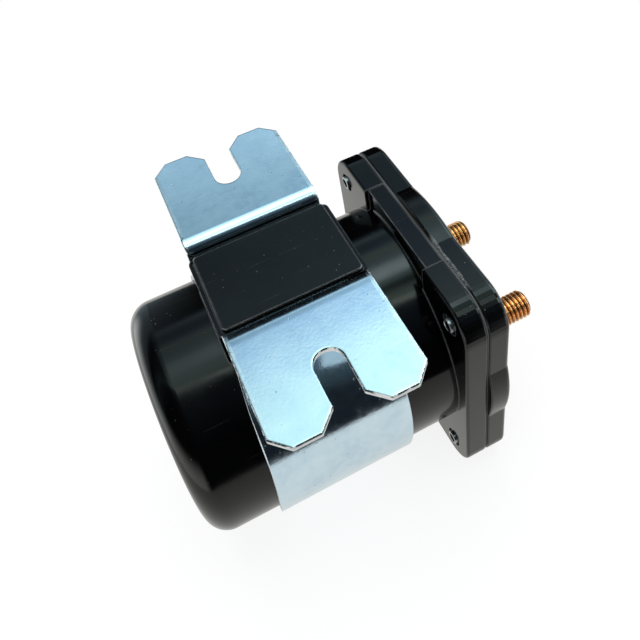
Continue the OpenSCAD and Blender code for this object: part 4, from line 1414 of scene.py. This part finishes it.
@dataclass(frozen=True)
class Seat:
    """How one inner spring is held and pressed.

    Attributes:
        body: the body that carries the spring's held end.
        joint: the joint that presses it; not used.
        travel: how far its free end comes; not used.
        held_high: whether the held end is the one at the front; not used.
    """

    name: str
    body: Body
    joint: str
    travel: float
    held_high: bool


@dataclass(frozen=True)
class InnerSprings:
    """The two coil springs inside the can, which in the relay shorten as the plunger is pulled in; here they keep their
    packed length.
    """

    seats: tuple[tuple[Piece, Seat], ...] = (
        (Piece.RETURN_SPRING, Seat("return_coil", Body.FRAME, "plunger_slide", 2.5 * MM, True)),
        (Piece.CONTACT_SPRING, Seat("contact_coil", Body.PLUNGER, "contact_slide", 0.5 * MM, False)),
    )

    def build(self, frame: dict, finishes: Finishes) -> None:
        """Puts a merged copy in each packed spring's place, on the body that holds it."""
        slots = {part["node"]: part["material_slot"] for part in frame["record"]["subparts"]}
        for piece, seat in self.seats:
            packed = frame["nodes"][piece.value]
            thing = make_object(seat.name, merged_copy(seat.name, packed))
            finishes.dress(thing, slots[piece.value])
            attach(thing, seat.body.value)
            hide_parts(piece.value)
            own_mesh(thing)


class Solids:
    """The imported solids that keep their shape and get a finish."""

    def __init__(self, frame: dict) -> None:
        """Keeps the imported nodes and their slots."""
        self.nodes: dict[str, bpy.types.Object] = frame["nodes"]
        self.slots = {part["node"]: part["material_slot"] for part in frame["record"]["subparts"]}

    def build(self, finishes: Finishes) -> None:
        """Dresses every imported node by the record's slot."""
        for name, thing in sorted(self.nodes.items()):
            material = finishes.by_slot[self.slots[name]]
            if thing.data.materials:
                for index in range(len(thing.data.materials)):
                    thing.data.materials[index] = material
            else:
                thing.data.materials.append(material)
            LOG.info("%s: %s", name, material.name)


# ---------------------------------------------------------------- stage


@dataclass
class StudioCamera:
    """Camera at the photograph's place, as angles round the part and a position."""

    azimuth: float = -19.196
    elevation: float = 43.006
    roll: float = -9.362
    place: Point = (-31.2 * MM, -117.8 * MM, 217.6 * MM)
    focal_pixels: float = 754.03
    centre: Pair = (344.41, 160.0)
    frame: float = 640.0
    sensor: float = 36.0

    def build(self) -> bpy.types.Object:
        """Creates the camera and makes it the scene's camera."""
        az, el, roll = (math.radians(a) for a in (self.azimuth, self.elevation, self.roll))
        level = Vector((-math.sin(az), math.cos(az), 0))
        ahead = level * math.cos(el) - Vector((0, 0, math.sin(el)))
        right = Vector((math.cos(az), math.sin(az), 0))
        up = level * math.sin(el) + Vector((0, 0, math.cos(el)))
        turned_right = right * math.cos(roll) + up * math.sin(roll)
        turned_up = up * math.cos(roll) - right * math.sin(roll)
        data = bpy.data.cameras.new("studio camera")
        data.sensor_width = self.sensor
        data.lens = self.focal_pixels / self.frame * self.sensor
        data.shift_x = (self.frame / 2 - self.centre[0]) / self.frame
        data.shift_y = (self.centre[1] - self.frame / 2) / self.frame
        data.clip_start, data.clip_end = 0.01, 20.0
        camera = bpy.data.objects.new("studio camera", data)
        bpy.context.scene.collection.objects.link(camera)
        axes = Matrix((turned_right, turned_up, -ahead)).transposed().to_4x4()
        camera.matrix_world = Matrix.Translation(self.place) @ axes
        bpy.context.scene.camera = camera
        return camera


@dataclass(frozen=True)
class Softbox:
    """One large rectangular lamp aimed at the part."""

    name: str
    place: Point
    size: Pair
    watts: float
    colour: Colour = (1.0, 1.0, 1.0)

    def build(self, target: Vector) -> None:
        """Adds the lamp, pointing at a target."""
        data = bpy.data.lights.new(self.name, "AREA")
        data.shape = "RECTANGLE"
        data.size, data.size_y = self.size
        data.energy = self.watts
        data.color = self.colour
        lamp = bpy.data.objects.new(self.name, data)
        bpy.context.scene.collection.objects.link(lamp)
        lamp.location = self.place
        lamp.visible_glossy = False
        lamp.rotation_mode = "QUATERNION"
        lamp.rotation_quaternion = (Vector(self.place) - target).to_track_quat("Z", "Y")


@dataclass
class Studio:
    """Pale floor, a painted surround and two soft lamps."""

    floor_size: float = 0.34
    floor_colour: Colour = (0.22, 0.22, 0.22)
    floor_glow: float = 0.85
    floor_reflected: Colour = (0.80, 0.80, 0.76)
    fill: Colour = (0.40, 0.41, 0.42)
    sky_gain: float = 8.0
    sky: Stops = (
        (0.0, (0.0, 0.0, 0.0)),
        (4.0, (0.004, 0.005, 0.006)),
        (31.0, (0.006, 0.008, 0.009)),
        (35.0, (0.16, 0.23, 0.29)),
        (38.5, (0.57, 0.79, 0.93)),
        (41.0, (0.51, 0.71, 0.82)),
        (44.0, (0.34, 0.49, 0.56)),
        (48.0, (0.29, 0.43, 0.53)),
        (52.0, (0.35, 0.51, 0.67)),
        (55.4, (0.55, 0.77, 0.99)),
        (58.0, (0.95, 1.23, 1.22)),
        (61.3, (0.93, 1.28, 1.20)),
        (66.0, (0.95, 1.30, 1.33)),
        (72.0, (1.10, 1.55, 1.65)),
        (78.0, (1.20, 1.70, 1.75)),
        (90.0, (0.95, 1.40, 1.35)),
        (103.0, (0.0, 0.0, 0.0)),
    )
    beyond: Stops = (
        (88.0, (0.0, 0.0, 0.0)),
        (99.0, (1.0, 1.40, 1.30)),
        (101.5, (1.1, 1.5, 1.35)),
        (104.0, (2.8, 3.3, 3.0)),
        (106.5, (2.5, 3.0, 2.7)),
        (109.0, (0.36, 0.44, 0.48)),
        (112.0, (0.14, 0.18, 0.22)),
        (126.0, (0.09, 0.13, 0.17)),
        (142.0, (0.04, 0.06, 0.07)),
        (160.0, (0.010, 0.014, 0.018)),
    )
    lamp_strip: Stops = (
        (72.0, (0.0, 0.0, 0.0)),
        (79.0, (0.70, 0.80, 0.85)),
        (84.0, (0.95, 1.10, 1.15)),
        (87.5, (0.80, 0.95, 1.0)),
        (92.0, (0.10, 0.12, 0.13)),
        (96.0, (0.0, 0.0, 0.0)),
    )
    slant: float = 39.0
    sky_sides: tuple[Point, ...] = ((-1.0, -0.999, 0.06), (-0.42, -0.03, 0.74), (-0.04, 0.03, 0.2), (0.04, 0.30, 0.25), (0.33, 0.65, 2.0))
    lamp_sides: tuple[Point, ...] = ((-0.35, -0.03, 0.9), (-0.04, 0.24, 3.2), (0.25, 0.31, -3.6))
    closed_end_wall: Colour = (0.33, 0.42, 0.46)
    floor_beyond: float = 1.9

    def build(self) -> None:
        """Adds the floor, the world and the lamps, and sets the view transform."""
        bpy.context.scene.view_settings.view_transform = "Standard"
        self.add_floor()
        self.add_world()
        target = Vector((0.0, 0.0, 0.04))
        lamps = (
            Softbox("overhead softbox", (0.05, 0.20, 0.90), (0.8, 0.8), 3.8),
            Softbox("side softbox", (-0.60, -0.35, 0.60), (0.6, 0.6), 1.5, (0.97, 0.98, 1.0)),
        )
        for lamp in lamps:
            lamp.build(target)

    @staticmethod
    def seen_directly(wiring: Wiring) -> bpy.types.NodeSocket:
        """Returns 1 for rays from the camera, a reflection or a clear body, and 0 for light on surfaces."""
        path = wiring.add("ShaderNodeLightPath").outputs
        direct = wiring.math("MAXIMUM", path["Is Camera Ray"], path["Is Glossy Ray"])
        return wiring.math("MAXIMUM", direct, path["Is Transmission Ray"])

    def add_floor(self) -> None:
        """Adds the floor: white where it is seen, with the part's shadow laid over it."""
        mesh = bpy.data.meshes.new("studio floor")
        mesh.from_pydata(circle_ring(self.floor_size / 2, 0.0, 96), [], [tuple(range(96))])
        floor = make_object("studio_floor", mesh)
        material, wiring, shader = fresh_material("studio floor")
        tint = wiring.ramp(object_noise(wiring, 2.0, 2.0), 0.0, 1.0, (0.985, 1.0))
        wiring.tree.links.new(wiring.mix(tint, (0, 0, 0, 1), rgba(self.floor_colour)), shader.inputs["Base Color"])
        shader.inputs["Roughness"].default_value = 0.9
        shader.inputs["Specular IOR Level"].default_value = 0.0
        glow = wiring.math("MULTIPLY", self.seen_directly(wiring), self.floor_glow)
        mirrored = wiring.add("ShaderNodeLightPath").outputs["Is Glossy Ray"]
        warm = wiring.mix(mirrored, rgba((1.0, 1.0, 1.0)), rgba(self.floor_reflected))
        wiring.tree.links.new(warm, shader.inputs["Emission Color"])
        wiring.tree.links.new(glow, shader.inputs["Emission Strength"])
        mesh.materials.append(material)

    def band(self, wiring: Wiring, angle: bpy.types.NodeSocket, stops: Stops) -> bpy.types.NodeSocket:
        """Returns the colour painted at an angle, where half a turn is 1."""
        painted = wiring.add("ShaderNodeValToRGB", {0: angle})
        ramp = painted.color_ramp
        ramp.interpolation = "EASE"
        while len(ramp.elements) < len(stops):
            ramp.elements.new(0.5)
        for element, (degrees, colour) in zip(ramp.elements, stops):
            element.position = degrees / 180.0
            element.color = rgba(tuple(part / self.sky_gain for part in colour))
        return self.tinted(wiring, painted.outputs[0], self.sky_gain)

    @staticmethod
    def tinted(wiring: Wiring, colour, gain) -> bpy.types.NodeSocket:
        """Returns a colour times a number."""
        grey = wiring.add("ShaderNodeCombineColor", {0: gain, 1: gain, 2: gain}).outputs[0]
        return wiring.mix(1.0, colour, grey, "MULTIPLY")

    @staticmethod
    def sided(wiring: Wiring, side: bpy.types.NodeSocket, steps: tuple[Point, ...]) -> bpy.types.NodeSocket:
        """Returns the sum of the soft steps (from, to, gain) between the closed end and the studs."""
        total = None
        for first, last, gain in steps:
            step = wiring.ramp(side, first, last, (0.0, gain))
            total = step if total is None else wiring.math("ADD", total, step)
        return total

    def add_world(self) -> None:
        """Adds the surround: white at the horizon, with a bright field overhead and darker walls in reflections."""
        world = bpy.data.worlds.new("studio surround")
        world.use_nodes = True
        world.node_tree.nodes.clear()
        wiring = Wiring(world.node_tree)
        place = wiring.add("ShaderNodeSeparateXYZ", {0: wiring.add("ShaderNodeTexCoord").outputs["Generated"]}).outputs
        turn = wiring.math("ARCTAN2", wiring.math("MAXIMUM", place["Z"], 0.0), place["Y"])
        turn = wiring.math("DIVIDE", turn, math.pi)
        slanted = wiring.math("MULTIPLY_ADD", place["X"], -self.slant / 180.0, turn)
        strip = self.tinted(wiring, self.band(wiring, turn, self.lamp_strip), self.sided(wiring, place["X"], self.lamp_sides))
        sky = wiring.mix(1.0, self.band(wiring, turn, self.sky), self.band(wiring, slanted, self.beyond), "ADD")
        overhead = wiring.mix(1.0, self.tinted(wiring, sky, self.sided(wiring, place["X"], self.sky_sides)), strip, "ADD")
        wall = wiring.math("MULTIPLY", wiring.ramp(place["X"], 0.02, -0.12), wiring.ramp(turn, 0.21, 0.16))
        overhead = wiring.mix(1.0, overhead, self.tinted(wiring, rgba(self.closed_end_wall), wall), "ADD")
        endwise = wiring.ramp(wiring.math("ABSOLUTE", place["X"]), 0.28, 0.55)
        lower = wiring.math("MULTIPLY", endwise, wiring.ramp(place["Z"], 0.2, -0.25))
        lower = wiring.math("MULTIPLY", lower, self.floor_beyond)
        overhead = wiring.mix(1.0, overhead, self.tinted(wiring, rgba((1.0, 1.0, 0.97)), lower), "ADD")
        path = wiring.add("ShaderNodeLightPath").outputs
        reflected = wiring.mix(path["Is Glossy Ray"], rgba((1.0, 1.0, 1.0)), overhead)
        colour = wiring.mix(self.seen_directly(wiring), rgba(self.fill), reflected)
        light = wiring.add("ShaderNodeBackground", {"Color": colour, "Strength": 1.0})
        wiring.add("ShaderNodeOutputWorld", {0: light.outputs[0]})
        bpy.context.scene.world = world


# ---------------------------------------------------------------- main


def main() -> None:
    """Builds the dressed relay, the stage and the camera."""
    logging.basicConfig(level=logging.INFO, format="%(name)s %(message)s")
    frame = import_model()
    StudioCamera().build()
    Studio().build()
    finishes = Finishes()
    threads = ThreadTree()
    pattern = PatternTree()
    Solids(frame).build(finishes)
    Bracket().build(finishes)
    MainStuds().build(threads, finishes)
    ClampParts().build(pattern, finishes)
    CoilTerminals().build(threads, pattern, finishes)
    FlangeScrews().build(pattern, finishes)
    InnerSprings().build(frame, finishes)
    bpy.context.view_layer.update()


if __name__ == "__main__":
    main()
